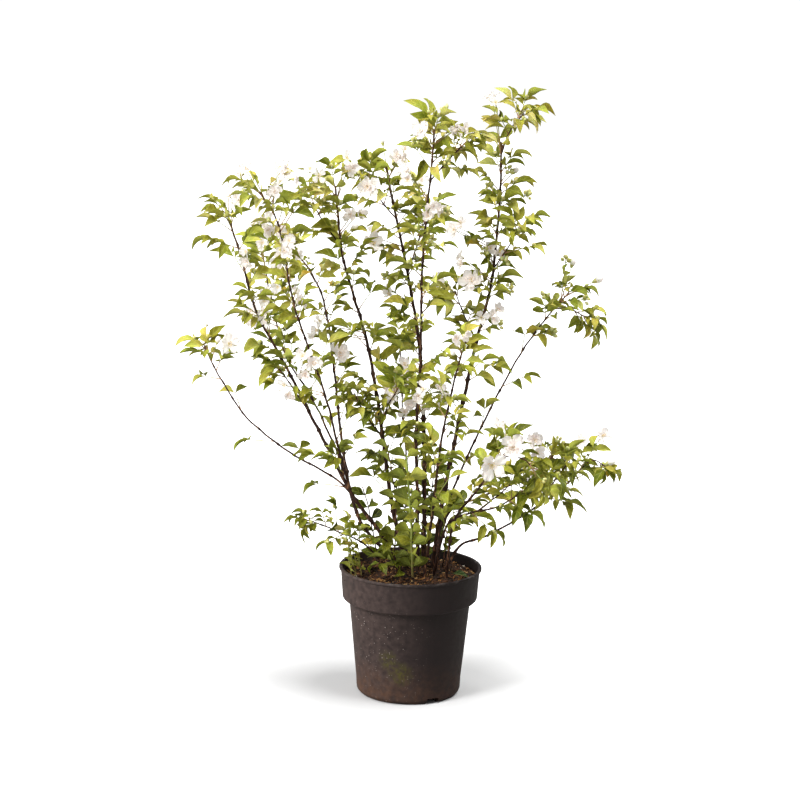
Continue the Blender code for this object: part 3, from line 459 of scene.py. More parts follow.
def masters(name, shapes):
    """A collection of master meshes that a tree copies; it is never linked to the scene."""
    collection = bpy.data.collections.new(name)
    for number, mesh in enumerate(shapes):
        collection.objects.link(bpy.data.objects.new(f"{name}_{number:02d}", mesh))
    return collection


def shard(draw, length, breadth, thick):
    """One torn shard of bark or grit stone: a box of eight corners pulled out of true."""
    bm = bmesh.new()
    bmesh.ops.create_cube(bm, size=1)
    bmesh.ops.subdivide_edges(bm, edges=[e for e in bm.edges if abs((e.verts[0].co - e.verts[1].co).x) > 0.5],
                              cuts=1)
    for vertex in bm.verts:
        pull = Vector([draw.uniform(-0.16, 0.16) for _ in range(3)])
        vertex.co = (vertex.co + pull) * Vector((length, breadth, thick))
        vertex.co.z += 0.25 * thick * math.sin(5 * vertex.co.x / length)
    mesh = bpy.data.meshes.new("shard")
    bm.to_mesh(mesh)
    bm.free()
    return mesh


# Scatters copies on the faces of a surface, each turned about its own random axis and sunk a little.
scatter, given, end = new_tree("scattered_shards", (
    ("Shards", "NodeSocketCollection", None), ("Material", "NodeSocketMaterial", None),
    ("Density", "NodeSocketFloat", 1000.0), ("Smallest", "NodeSocketFloat", 0.6),
    ("Largest", "NodeSocketFloat", 1.3), ("Tilt", "NodeSocketFloat", 0.5), ("Seed", "NodeSocketInt", 0)))
points = add(scatter, "GeometryNodeDistributePointsOnFaces",
             {"Mesh": given["Geometry"], "Density": given["Density"], "Seed": given["Seed"]})
tilt_back = add(scatter, "ShaderNodeMath", {0: given["Tilt"], 1: -1.0}, operation="MULTIPLY").outputs[0]
low_turn = add(scatter, "ShaderNodeCombineXYZ", {"X": tilt_back, "Y": tilt_back, "Z": 0.0}).outputs[0]
high_turn = add(scatter, "ShaderNodeCombineXYZ",
                {"X": given["Tilt"], "Y": given["Tilt"], "Z": 2 * math.pi}).outputs[0]
spin = add(scatter, "FunctionNodeRandomValue", {0: low_turn, 1: high_turn, "Seed": given["Seed"]},
           data_type="FLOAT_VECTOR").outputs[0]
size = add(scatter, "FunctionNodeRandomValue", {2: given["Smallest"], 3: given["Largest"], "Seed": 7},
           data_type="FLOAT").outputs[1]
tone = add(scatter, "FunctionNodeRandomValue", {2: 0.0, 3: 1.0, "Seed": 11}, data_type="FLOAT").outputs[1]
toned = add(scatter, "GeometryNodeStoreNamedAttribute",
            {"Geometry": points.outputs["Points"], "Name": "tone", "Value": tone},
            data_type="FLOAT", domain="POINT")
kinds = add(scatter, "GeometryNodeCollectionInfo",
            {"Collection": given["Shards"], "Separate Children": True, "Reset Children": True})
turned_to = add(scatter, "FunctionNodeEulerToRotation", {"Euler": spin}).outputs[0]
copies = add(scatter, "GeometryNodeInstanceOnPoints",
             {"Points": toned.outputs[0], "Instance": kinds.outputs[0], "Pick Instance": True,
              "Rotation": turned_to, "Scale": size})
real = add(scatter, "GeometryNodeRealizeInstances", {"Geometry": copies.outputs[0]})
dressed = add(scatter, "GeometryNodeSetMaterial",
              {"Geometry": real.outputs[0], "Material": given["Material"]})
scatter.links.new(dressed.outputs[0], end.inputs[0])

# Pine bark broken by composting: each shard its own brown, from wet black-brown to dry tan, with fibres
# along it; a cut face shows paler.
bark_chip, tree, shader, where = new_material("composted_pine_bark", 0.85)
shade = add(tree, "ShaderNodeAttribute", attribute_name="tone").outputs["Fac"]
ramp = add(tree, "ShaderNodeValToRGB", {"Fac": shade})
SHARD_COLORS = ((0.0, "#1a1008"), (0.4, "#331d0e"), (0.72, "#5c3518"), (0.92, "#9a6a34"), (1.0, "#dcb47c"))
for place, code in SHARD_COLORS[1:-1]:
    ramp.color_ramp.elements.new(place)
for element, (place, code) in zip(ramp.color_ramp.elements, SHARD_COLORS):
    element.position = place
    element.color = linear(code)
fibre = grain(tree, where, 0.9, 4, (1, 3, 1))
color = mixed(tree, ranged(tree, fibre, 0.35, 0.7, 0.0, 0.5), ramp.outputs["Color"], "#24160d")
tree.links.new(color, shader.inputs["Base Color"])
bumped(tree, shader, fibre, 0.5)
# White quartz grit, dry and dusty.
grit, tree, shader, where = new_material("pale_quartz_grit", 0.6)
tree.links.new(mixed(tree, grain(tree, where, 2, 4), "#e9e4da", "#b9ad9b"), shader.inputs["Base Color"])
bumped(tree, shader, grain(tree, where, 1, 4), 0.2)

# name: shard length, breadth and thickness in mm, pieces per square metre, tilt, seed, material
LITTER = {
    "bark_shards": ((9, 3.6, 1.5), 22000, 0.55, 3, bark_chip),
    "bark_splinters": ((11, 1.1, 0.8), 16000, 0.6, 8, bark_chip),
    "peat_crumbs": ((2.6, 2.0, 1.5), 70000, 1.2, 5, bark_chip),
    "grit_stones": ((4.2, 3.2, 2.4), 260, 0.9, 12, grit),
}
chance = random.Random(5)
for name, (lengths, density, tilt, seed, stuff) in LITTER.items():
    ground = bmesh.new()
    ground.from_mesh(compost.data)
    bare = [face for face in ground.faces
            if face.normal.z < 0.5 or face.calc_center_median().to_2d().length > SOIL_EDGE - 3 * MM]
    bmesh.ops.delete(ground, geom=bare, context="FACES")
    bmesh.ops.translate(ground, verts=ground.verts, vec=UP * 0.4 * MM)
    shapes = masters(name, [shard(chance, *[each * MM * chance.uniform(0.75, 1.25) for each in lengths])
                            for _ in range(7)])
    litter = made_by(scatter, name, object_from(ground, "ground"), {
        "Shards": shapes, "Material": stuff, "Density": float(density), "Tilt": tilt, "Seed": seed})
    seated(litter, "compost")


# Canes
# A mock orange grows as a thicket of woody canes from one crown: ribbed purple-brown bark that ages to
# grey-brown and peels, swollen at every pair of buds, 8 mm thick at the foot and 3 mm at the tip.
# The growth below repeats the plant's own rule and seed, so that each leaf and flower lies on its solid.

GAP, CLEAR = 0.3 * MM, 0.5 * MM
SUNK = 48 * MM
CROWN_TOP = SOIL_TOP + CROWN_RISE
BLADE_THICKNESS, BLADE_FOLD = 1.2 * MM, 0.38
FULL_BLADE, PLAIN_BLADE = ((0.33, 1.0), (0.67, 0.64)), ((0.42, 1.0),)
ROOT_RISE = 0.5 * MM
SHOOT_RADIUS, SHOOT_TIP_RADIUS = 0.9 * MM, 0.8 * MM
NODE_SPACING = 68 * MM
PETAL_THICKNESS, CALYX_RADIUS, CALYX_HEIGHT = 1.2 * MM, 2.4 * MM, 4 * MM
SHARPEST_KNEE = -0.35
STALK, BUD_RADIUS, BUD_STALK = 10 * MM, 3.1 * MM, 4 * MM
SEED = 41
RING_SPACING, THICK_CANE = 60 * MM, 4 * MM
MIDDLE_LEAF_SHARE, BUD_SHARE = 0.2, 0.16

# name: radii at the foot and the tip, height of the first leaves, leaf length,
# then the route from the crown of the plant to the tip, in millimetres
CANES = {
    "a": (3.6, 1.5, 400, 40, ((-20, -8), (-50, -10, 275), (-100, -15, 345), (-155, -20, 450),
                              (-210, -30, 560), (-260, -40, 655), (-285, -50, 745), (-310, -60, 825))),
    "d": (3.2, 1.4, 440, 36, ((-24, 30), (-90, 45, 290), (-120, 85, 410), (-135, 125, 515),
                              (-150, 160, 610), (-175, 185, 675), (-220, 210, 725))),
    "e": (4.2, 1.6, 330, 40, ((-8, 12), (-35, 5, 335), (-55, 0, 470), (-80, -10, 605),
                              (-120, -20, 745), (-135, -30, 865))),
    "f": (4.2, 1.8, 300, 40, ((22, 22), (20, 35, 400), (10, 55, 560), (-10, 70, 685),
                              (-40, 90, 815), (-55, 100, 885))),
    "g": (3.4, 1.5, 290, 42, ((12, -12), (10, -15, 320), (5, -30, 460), (10, -45, 590),
                              (10, -65, 745), (20, -85, 890), (25, -100, 970))),
    "h": (4.2, 1.6, 300, 42, ((38, 24), (50, 20, 310), (70, 20, 430), (100, 20, 590),
                              (125, 20, 705), (135, 20, 845), (135, 20, 935))),
    "i": (2.4, 1.2, 390, 38, ((42, 2), (55, 15, 305), (105, 40, 430), (170, 80, 555),
                              (215, 100, 620), (260, 120, 670))),
    "j": (2.6, 1.3, 300, 38, ((60, -26), (70, -60, 310), (95, -95, 360), (130, -140, 420),
                              (155, -180, 470))),
    "k": (2.8, 1.3, 290, 36, ((38, 44), (65, 70, 295), (110, 100, 310), (160, 130, 325),
                              (220, 170, 345), (250, 200, 375))),
    "l": (2.4, 1.2, 285, 36, ((40, -20), (60, -40, 300), (95, -55, 325), (145, -75, 345),
                              (195, -100, 385))),
    "m": (2.4, 1.2, 300, 38, ((60, 12), (85, 20, 250), (130, 15, 270), (185, 10, 305),
                              (245, 5, 350), (285, 0, 395))),
    "n": (2.8, 1.3, 290, 38, ((24, -34), (35, -65, 330), (45, -110, 450), (60, -155, 550),
                              (80, -200, 645))),
    "o": (2.2, 1.1, 250, 38, ((2, 42), (0, 70, 280), (-10, 110, 370), (-20, 150, 470),
                              (-25, 180, 570))),
    "q": (1.8, 1.0, 240, 30, ((-38, 4), (-80, -10, 258), (-135, -25, 287), (-180, -40, 307))),
    "basal_shoot": (1.9, 1.3, 225, 38, ((4, -42), (0, -56, 290), (-5, -70, 365), (-10, -90, 430))),
    "rim_seedling": (1.3, 1.0, 222, 22, ((-92, -21), (-102, -28, 250), (-112, -34, 290))),
}

# Branches that grow out of cane a: radii, height where they leave it, leaf length, route
BRANCHES = {
    "b": (2.0, 1.2, 365, 34, ((-130, -10, 425), (-175, 15, 510), (-215, 40, 565), (-240, 70, 650),
                              (-260, 100, 735))),
    "c": (2.2, 1.3, 350, 38, ((-120, -35, 415), (-145, -55, 520), (-175, -80, 610),
                              (-200, -105, 695), (-220, -145, 815), (-250, -170, 875))),
    "p": (1.9, 1.2, 335, 36, ((-130, -15, 372), (-205, 0, 410), (-275, 20, 460), (-325, 45, 525),
                              (-355, 60, 580))),
}

# Open flowers: cane, place of the flower's middle, diameter, the way it faces as degrees
# (to the right of the front, up)
BLOOMS = (
    ("a", (-305, -75, 852), 24, (-30, 30)),
    ("c", (-270, -185, 914), 22, (-20, 15)),
    ("c", (-220, -160, 912), 20, (20, 40)),
    ("c", (-202, -168, 896), 24, (80, -5)),
    ("c", (-225, -194, 880), 22, (0, 0)),
    ("b", (-269, 82, 786), 22, (-40, 30)),
    ("a", (-275, -72, 760), 22, (-35, 10)),
    ("b", (-258, 66, 752), 22, (10, 20)),
    ("c", (-215, -118, 796), 22, (20, 30)),
    ("c", (-211, -159, 779), 22, (0, 10)),
    ("b", (-251, 51, 670), 20, (-10, 10)),
    ("c", (-191, -79, 684), 22, (60, 20)),
    ("a", (-245, -66, 661), 20, (-60, 0)),
    ("p", (-310, 36, 585), 30, (20, 25)),
    ("c", (-165, -99, 583), 27, (20, 20)),
    ("d", (-126, 103, 559), 33, (10, 10)),
    ("e", (-116, -46, 913), 25, (15, 35)),
    ("f", (-83, 61, 851), 36, (-15, 5)),
    ("f", (-72, 51, 755), 36, (15, 50)),
    ("g", (3, -120, 969), 30, (-20, 35)),
    ("g", (71, -100, 973), 20, (60, 10)),
    ("f", (5, 68, 862), 23, (20, 30)),
    ("g", (23, -112, 848), 25, (30, -5)),
    ("h", (124, 6, 1001), 26, (-15, 50)),
    ("h", (75, 0, 736), 20, (-60, 10)),
    ("h", (91, -8, 708), 36, (-15, 45)),
    ("h", (126, -6, 645), 26, (35, 5)),
    ("f", (-43, 41, 674), 23, (-50, 20)),
    ("f", (-15, 10, 542), 30, (-5, 10)),
    ("e", (-34, -32, 512), 23, (-30, 0)),
    ("g", (7, -75, 528), 24, (0, 0)),
    ("g", (40, -13, 530), 29, (70, 25)),
    ("n", (65, -222, 656), 21, (15, 0)),
    ("j", (137, -166, 499), 27, (60, 30)),
    ("j", (160, -202, 475), 38, (0, 5)),
    ("k", (209, 166, 399), 30, (25, 30)),
    ("j", (128, -175, 438), 41, (-5, 0)),
    ("k", (205, 131, 347), 30, (40, -10)),
    ("m", (284, 18, 434), 23, (-30, 25)),
    ("m", (316, 0, 449), 25, (20, 30)),
)

# Closed flowers, still balls: cane, place, diameter
CLOSED = (
    ("i", (263, 112, 722), 13), ("i", (308, 120, 692), 15), ("h", (169, 20, 992), 16),
    ("h", (160, 20, 889), 11), ("b", (-248, 39, 610), 11), ("m", (331, -6, 406), 15),
    ("n", (61, -214, 630), 10), ("f", (-61, 100, 923), 11), ("a", (-307, -60, 881), 11),
    ("p", (-329, 47, 590), 11), ("e", (-102, -34, 799), 12), ("k", (222, 172, 372), 10),
)


def smooth_route(points, step):
    """Points about a step apart on one smooth curve through the given points."""
    ends = [2 * points[0] - points[1]] + list(points) + [2 * points[-1] - points[-2]]
    route = []
    for a, b, c, d in zip(ends, ends[1:], ends[2:], ends[3:]):
        count = max(1, round((c - b).length / step))
        for i in range(count):
            t = i / count
            route.append(0.5 * ((2 * b) + (c - a) * t + (2 * a - 5 * b + 4 * c - d) * t ** 2
                                + (3 * b - a - 3 * c + d) * t ** 3))
    return route + [points[-1]]


def lengths_along(points):
    """The length walked to each point of a route."""
    lengths = [0.0]
    for a, b in zip(points, points[1:]):
        lengths.append(lengths[-1] + (b - a).length)
    return lengths


class Stem:
    """A cane or branch: its smooth route, the rings of its solid, and its radius along it."""

    def __init__(self, points, foot_radius, tip_radius, buried=()):
        self.buried = list(buried)
        self.route = smooth_route(points, 4 * MM)
        reached = lengths_along(self.route)
        count = max(3, round(reached[-1] / RING_SPACING))
        self.rings = []
        for i in range(count + 1):
            nearest = min(range(len(self.route)), key=lambda k: abs(reached[k] - reached[-1] * i / count))
            self.rings.append(self.route[nearest])
        self.lengths = lengths_along(self.rings)
        self.length = self.lengths[-1]
        self.foot_radius, self.tip_radius = foot_radius, tip_radius

    def at(self, length):
        """The point at this length along the stem, and the stem's direction there."""
        length = min(max(length, 0.0), self.length)
        i = max(k for k, reached in enumerate(self.lengths[:-1]) if reached <= length)
        a, b = self.rings[i], self.rings[i + 1]
        share = (length - self.lengths[i]) / (self.lengths[i + 1] - self.lengths[i])
        return a.lerp(b, share), (b - a).normalized()

    def radius(self, length):
        share = min(length / self.length, 1.0)
        return self.foot_radius + (self.tip_radius - self.foot_radius) * share ** 0.8

    def samples(self):
        """Lengths a few millimetres apart along the stem."""
        count = math.ceil(self.length / (4 * MM))
        return [self.length * i / count for i in range(count + 1)]

    def nearest(self, point):
        """The length along the stem that lies nearest to the point."""
        return min(self.samples(), key=lambda length: (self.at(length)[0] - point).length)

    def above(self, height):
        """The length along the stem where it first reaches the height."""
        return next((s for s in self.samples() if self.at(s)[0].z >= height), self.length)


def stem_tube(stem):
    """The stem's solid, for what must stay clear of it."""
    rings = [(point, stem.foot_radius) for point in stem.buried]
    rings += [(point, stem.radius(length)) for point, length in zip(stem.rings, stem.lengths)]
    curve = bpy.data.curves.new("stem", "CURVE")
    curve.dimensions = "3D"
    curve.bevel_depth = 1.0
    curve.bevel_resolution = 1 if stem.foot_radius > THICK_CANE else 0
    curve.use_fill_caps = True
    spline = curve.splines.new("POLY")
    spline.points.add(len(rings) - 1)
    for spot, (point, radius) in zip(spline.points, rings):
        spot.co = (*point, 1)
        spot.radius = radius
    carrier = bpy.data.objects.new("stem", curve)
    bpy.context.scene.collection.objects.link(carrier)
    evaluated = carrier.evaluated_get(bpy.context.evaluated_depsgraph_get())
    mesh = bpy.data.meshes.new_from_object(evaluated)
    bpy.data.objects.remove(carrier)
    bpy.data.curves.remove(curve)
    bm = bmesh.new()
    bm.from_mesh(mesh)
    bpy.data.meshes.remove(mesh)
    bmesh.ops.remove_doubles(bm, verts=bm.verts, dist=0.01 * MM)
    return bm


def frame_on(direction, towards):
    """Side and normal vectors square to the direction, the normal as near to towards as it can be."""
    side = direction.cross(towards)
    if side.length < 1e-3:
        side = direction.cross(Vector((0.3, -1, 0.2)))
    side.normalize()
    return side, side.cross(direction).normalized()


def ring_of(middle, side, normal, radius, sides=4):
    """Corners of a stalk's section, the first one on its upper side."""
    angles = [2 * math.pi * i / sides for i in range(sides)]
    return [middle + (normal * math.cos(a) + side * math.sin(a)) * radius for a in angles]


def bridge(bm, rings):
    """Skins from ring to ring. Each quarter is split alike, so both faces of a blade match."""
    for ring, after in zip(rings, rings[1:]):
        for i, a in enumerate(ring):
            b = ring[(i + 1) % len(ring)]
            c, d = after[i], after[(i + 1) % len(ring)]
            if i % 2:
                bm.faces.new((a, b, d))
                bm.faces.new((a, d, c))
            else:
                bm.faces.new((a, b, c))
                bm.faces.new((b, d, c))


def stalk(stations, sides=4):
    """The solid of a stalk through (point, radius) stations, its rings square to it where it bends."""
    bm = bmesh.new()
    points = [point for point, _ in stations]
    ways = [(b - a).normalized() for a, b in zip(points, points[1:])]
    ways = [ways[0]] + [(a + b).normalized() for a, b in zip(ways, ways[1:])] + [ways[-1]]
    side, normal = frame_on(ways[0], UP)
    rings = []
    for (point, radius), way in zip(stations, ways):
        side, normal = frame_on(way, normal)
        rings.append([bm.verts.new(p) for p in ring_of(point, side, normal, radius, sides)])
    bm.faces.new(rings[0])
    bm.faces.new(rings[-1])
    bridge(bm, rings)
    bmesh.ops.recalc_face_normals(bm, faces=bm.faces)
    return bm


def blade(bm, root, start, direction, upper, length, width, droop, hand, outline):
    """The solid of a leaf blade, folded up from its midrib and arched down by droop radians."""
    side, normal = frame_on(direction, upper)
    side *= hand
    point, walked, steps = Vector(root), 0.0, 12
    rings = []
    for station, share in outline + ((1.0, 0.0),):
        for _ in range(round((station - walked) * steps)):
            bend = droop * (walked + 0.5 / steps) ** 1.2
            point = point + (direction * math.cos(bend) - normal * math.sin(bend)) * (length / steps)
            walked += 1 / steps
        out = normal * math.cos(bend) + direction * math.sin(bend)
        half = side * (share * width / 2)
        lift = out * (BLADE_FOLD * half.length)
        rib = out * (BLADE_THICKNESS / 2)
        if share:
            rings.append([point + rib, point + half + lift, point - rib, point - half + lift])
    rings = [[bm.verts.new(p) for p in ring] for ring in rings]
    tip = bm.verts.new(point)
    above, below = start[0], start[2]
    rib_above, rib_below = rings[0][0], rings[0][2]
    for begin, margin in ((start[1], rings[0][1]), (start[3], rings[0][3])):
        bm.faces.new((above, rib_above, margin))
        bm.faces.new((below, margin, rib_below))
        if begin:
            bm.faces.new((above, margin, begin))
            bm.faces.new((below, begin, margin))
        else:
            bm.faces.new((above, margin, below))
    bridge(bm, rings)
    for a, b in zip(rings[-1], rings[-1][1:] + rings[-1][:1]):
        bm.faces.new((a, b, tip))
    return root, direction, normal, length, width, droop


def fork(bm, root, starts, along, spread, normal, sizes, droops, outline=FULL_BLADE):
    """Adds one or two opposite leaves that part at root, spread radians off the way along."""
    side = along.cross(normal)
    blades = []
    for hand, start, (length, width), droop in zip((1, -1), starts, sizes, droops):
        way = (along * math.cos(spread) + side * (hand * math.sin(spread))).normalized()
        blades.append(blade(bm, root, start, way, normal, length, width, droop, hand, outline))
    bmesh.ops.recalc_face_normals(bm, faces=bm.faces)
    return bm, blades


def leaf_pair(root, along, spread, upper, sizes, droops, outline=FULL_BLADE):
    """One leaf, or two opposite ones, rooted in the middle of a shoot."""
    _, normal = frame_on(along, upper)
    bm = bmesh.new()
    above, below = [bm.verts.new(root + normal * rise) for rise in (ROOT_RISE, -ROOT_RISE)]
    if len(sizes) == 1:
        starts = [(above, None, below, None)]
    else:
        back, front = [bm.verts.new(root + along * reach) for reach in (-ROOT_RISE, ROOT_RISE)]
        starts = [(above, back, below, front)] * 2
    return fork(bm, root, starts, along, spread, normal, sizes, droops, outline)


def sprig(start, end, spread, upper, sizes, droops):
    """A shoot from the middle of its cane that forks into two leaves at its end."""
    along = (end - start).normalized()
    side, normal = frame_on(along, upper)
    bm = bmesh.new()
    foot, top = [[bm.verts.new(p) for p in ring_of(point, side, normal, radius)]
                 for point, radius in ((start, SHOOT_RADIUS), (end, SHOOT_TIP_RADIUS))]
    bm.faces.new(foot)
    bridge(bm, [foot, top])
    above, right, below, left = top
    starts = [(above, right, below, None), (above, left, below, None)]
    return fork(bm, end, starts, along, spread, normal, sizes, droops)


def facing(degrees):
    """The direction a flower looks: degrees to the right of the front, and up."""
    across, up = (math.radians(angle) for angle in degrees)
    return Vector((math.sin(across) * math.cos(up), -math.cos(across) * math.cos(up), math.sin(up)))


def bloom(middle, look, diameter, petals, draw):
    """The solid of an open flower, with the turn of its first petal and the depth of its cup."""
    radius = diameter / 2
    side, normal = frame_on(look, UP)
    turn = draw.uniform(0, 2 * math.pi)
    pitch = 2 * math.pi / petals
    bm = bmesh.new()

    def spot(reach, angle, height):
        flat = side * math.cos(angle) + normal * math.sin(angle)
        return bm.verts.new(middle + flat * (reach * radius) + look * height)

    cup = draw.uniform(0.10, 0.30) * radius
    boss = bm.verts.new(middle + look * (2.8 * MM))
    under = bm.verts.new(middle - look * PETAL_THICKNESS)
    sinus = [spot(0.30, turn + (i - 0.5) * pitch, 0.2 * cup) for i in range(petals)]
    ring = [spot(0.17, turn + (i - 0.5) * pitch, 0.9 * MM) for i in range(petals)]
    for i in range(petals):
        angle, after = turn + i * pitch, (i + 1) % petals
        wave = draw.uniform(-0.12, 0.12) * radius
        reach = draw.uniform(0.94, 1.06)
        top = spot(0.60 * reach, angle, 0.45 * cup + PETAL_THICKNESS / 2)
        bottom = spot(0.60 * reach, angle, 0.45 * cup - PETAL_THICKNESS / 2)
        left = spot(0.84 * reach, angle - 0.36 * pitch, cup + wave)
        tip = spot(0.97 * reach, angle, 0.8 * cup)
        right = spot(0.84 * reach, angle + 0.36 * pitch, cup - wave)
        edge = (sinus[i], left, tip, right, sinus[after])
        for a, b in zip(edge, edge[1:]):
            bm.faces.new((a, b, top))
            bm.faces.new((b, a, bottom))
        bm.faces.new((under, sinus[i], bottom))
        bm.faces.new((sinus[after], under, bottom))
        bm.faces.new((sinus[i], top, ring[i]))
        bm.faces.new((ring[i], top, ring[after]))
        bm.faces.new((ring[after], top, sinus[after]))
        bm.faces.new((ring[i], ring[after], boss))
    bmesh.ops.recalc_face_normals(bm, faces=bm.faces)
    return bm, turn, cup


class Space:
    """What has been placed, so that growth of one cane stays clear of everything else."""

    def __init__(self):
        self.taken = []
        self.wood_only = False

    @staticmethod
    def box(bm):
        places = [vertex.co for vertex in bm.verts]
        low = [min(p[i] for p in places) for i in range(3)]
        high = [max(p[i] for p in places) for i in range(3)]
        return low, high

    def add(self, bm, owner):
        low, high = self.box(bm)
        self.taken.append((low, high, BVHTree.FromBMesh(bm), owner))
        bm.free()

    def free(self, bm, *friends):
        """Whether the shape, grown by the least clearance, touches nothing but its friends."""
        grown = bm.copy()
        grown.normal_update()
        for vertex in grown.verts:
            vertex.co += vertex.normal * CLEAR
        low, high = self.box(grown)
        tree = BVHTree.FromBMesh(grown)
        grown.free()
        for other_low, other_high, other, owner in self.taken:
            if owner in friends or (self.wood_only and not owner.endswith("_stem")):
                continue
            if any(low[i] > other_high[i] or high[i] < other_low[i] for i in range(3)):
                continue
            if tree.overlap(other):
                return False
        return True


class Shrub:
    """All that grows above the compost, told by the cane it grows on."""

    def __init__(self, space):
        self.space = space
        self.stems = {}
        self.shoots = []
        self.blades = []
        self.buds = []
        self.flowers = []
        self.closed = []
        self.flower_shoots = []
        self.owners = 0
        self.arch = (0.5, 1.3)

    def new_owner(self, name):
        self.owners += 1
        return f"{name}_shoot_{self.owners}"

    def sprig(self, name, start, way, reach, length, draw):
        """A side shoot that forks into two leaves, drawn again if it would cross what is there."""
        for trial in range(6):
            sway = Vector([draw.uniform(-1, 1) for _ in range(3)]) * (0.12 + 0.12 * trial)
            along = (way + sway).normalized()
            end = start + along * reach * (1 - 0.08 * trial)
            sizes, droops = leaf_sizes(length, draw), (draw.uniform(*self.arch), draw.uniform(*self.arch))
            bm, blades = sprig(start, end, draw.uniform(0.55, 0.95), UP, sizes, droops)
            if self.space.free(bm, f"{name}_stem"):
                owner = self.new_owner(name)
                self.space.add(bm, owner)
                self.shoots.append((name, ((start, SHOOT_RADIUS), (end, SHOOT_TIP_RADIUS))))
                self.blades += [(name, *each) for each in blades]
                return owner, end, along
            bm.free()
        return None

    def leaves(self, name, owner, root, along, length, count, draw, outline=FULL_BLADE):
        """A pair of leaves, or one of them, out of the middle of a shoot."""
        for trial in range(5):
            sway = Vector([draw.uniform(-1, 1) for _ in range(3)]) * (0.15 + 0.15 * trial)
            sizes = leaf_sizes(length * (1 - 0.06 * trial), draw)[:count]
            droops = (draw.uniform(*self.arch), draw.uniform(*self.arch))[:count]
            lean = along if draw.random() < 0.5 or count == 2 else -along
            bm, blades = leaf_pair(root, (lean + sway * 0.4).normalized(), draw.uniform(0.85, 1.15),
                                   (UP + sway).normalized(), sizes, droops, outline)
            if self.space.free(bm, owner):
                self.space.add(bm, f"{owner}_leaves")
                self.blades += [(name, *each) for each in blades]
                return
            bm.free()

    def bud(self, name, owner, end, along, draw):
        """A round green flower bud on the end of a shoot."""
        way = (along + UP * 0.5 + Vector([draw.uniform(-1, 1) for _ in range(3)]) * 0.4).normalized()
        heights = (-SHOOT_TIP_RADIUS, BUD_STALK, BUD_STALK + BUD_RADIUS, BUD_STALK + 2 * BUD_RADIUS)
        radii = (0.7 * SHOOT_TIP_RADIUS, 0.7 * SHOOT_TIP_RADIUS, BUD_RADIUS, 0.4 * BUD_RADIUS)
        bm = stalk([(end + way * height, radius) for height, radius in zip(heights, radii)])
        if self.space.free(bm, owner):
            self.space.add(bm, owner)
            self.buds.append((name, end, end + way * (BUD_STALK + BUD_RADIUS), BUD_RADIUS))
        else:
            bm.free()

    def flower(self, name, middle, diameter, look, petals, draw):
        """An open flower, and the shoot with its calyx that carries it there."""
        stem = self.stems[name]
        for push, back in ((push, back) for push in range(5) for back in (26, 14, 40)):
            place = middle + look * (push * 3 * MM)
            seat = place - look * (PETAL_THICKNESS + GAP)
            knee = seat - look * STALK
            start, _ = stem.at(stem.nearest(knee) - back * MM)
            if (knee - start).normalized().dot(look) < SHARPEST_KNEE:
                continue
            shape, turn, cup = bloom(place, look, diameter, petals, draw)
            line = ((start, SHOOT_RADIUS), (knee, SHOOT_TIP_RADIUS),
                    (seat - look * CALYX_HEIGHT, SHOOT_TIP_RADIUS), (seat, CALYX_RADIUS))
            shoot = stalk(line, 3)
            if self.space.free(shape) and self.space.free(shoot, f"{name}_stem"):
                owner = self.new_owner(name)
                self.space.add(shoot, owner)
                self.flowers.append((name, place, look, diameter, petals, turn, cup))
                self.space.add(shape, f"bloom_{len(self.flowers):02d}")
                self.shoots.append((name, line[:3]))
                self.flower_shoots.append((name, owner, start, knee))
                self.leaves(name, owner, start.lerp(knee, 0.85), (knee - start).normalized(),
                            30 * MM, 2 if diameter > 30 * MM else 1, draw, PLAIN_BLADE)
                return
            shape.free()
            shoot.free()

    def closed_flower(self, name, middle, diameter):
        """A flower still closed in a ball, on its shoot."""
        stem = self.stems[name]
        for back in (24, 12, 40):
            start, _ = stem.at(stem.nearest(middle) - back * MM)
            bud = bmesh.new()
            bmesh.ops.create_uvsphere(bud, u_segments=5, v_segments=3, radius=diameter / 2,
                                      matrix=Matrix.Translation(middle))
            line = ((start, SHOOT_RADIUS), (middle, SHOOT_TIP_RADIUS))
            shoot = stalk(line, 3)
            if self.space.free(bud) and self.space.free(shoot, f"{name}_stem"):
                owner = self.new_owner(name)
                self.space.add(bud, owner)
                self.space.add(shoot, owner)
                self.shoots.append((name, line))
                self.closed.append((name, middle, (middle - start).normalized(), diameter / 2))
                return
            bud.free()
            shoot.free()


def leaf_sizes(length, draw):
    """Length and width of each leaf of a pair."""
    lengths = [length * draw.uniform(0.82, 1.12) for _ in range(2)]
    return [(each, each * draw.uniform(0.42, 0.5)) for each in lengths]


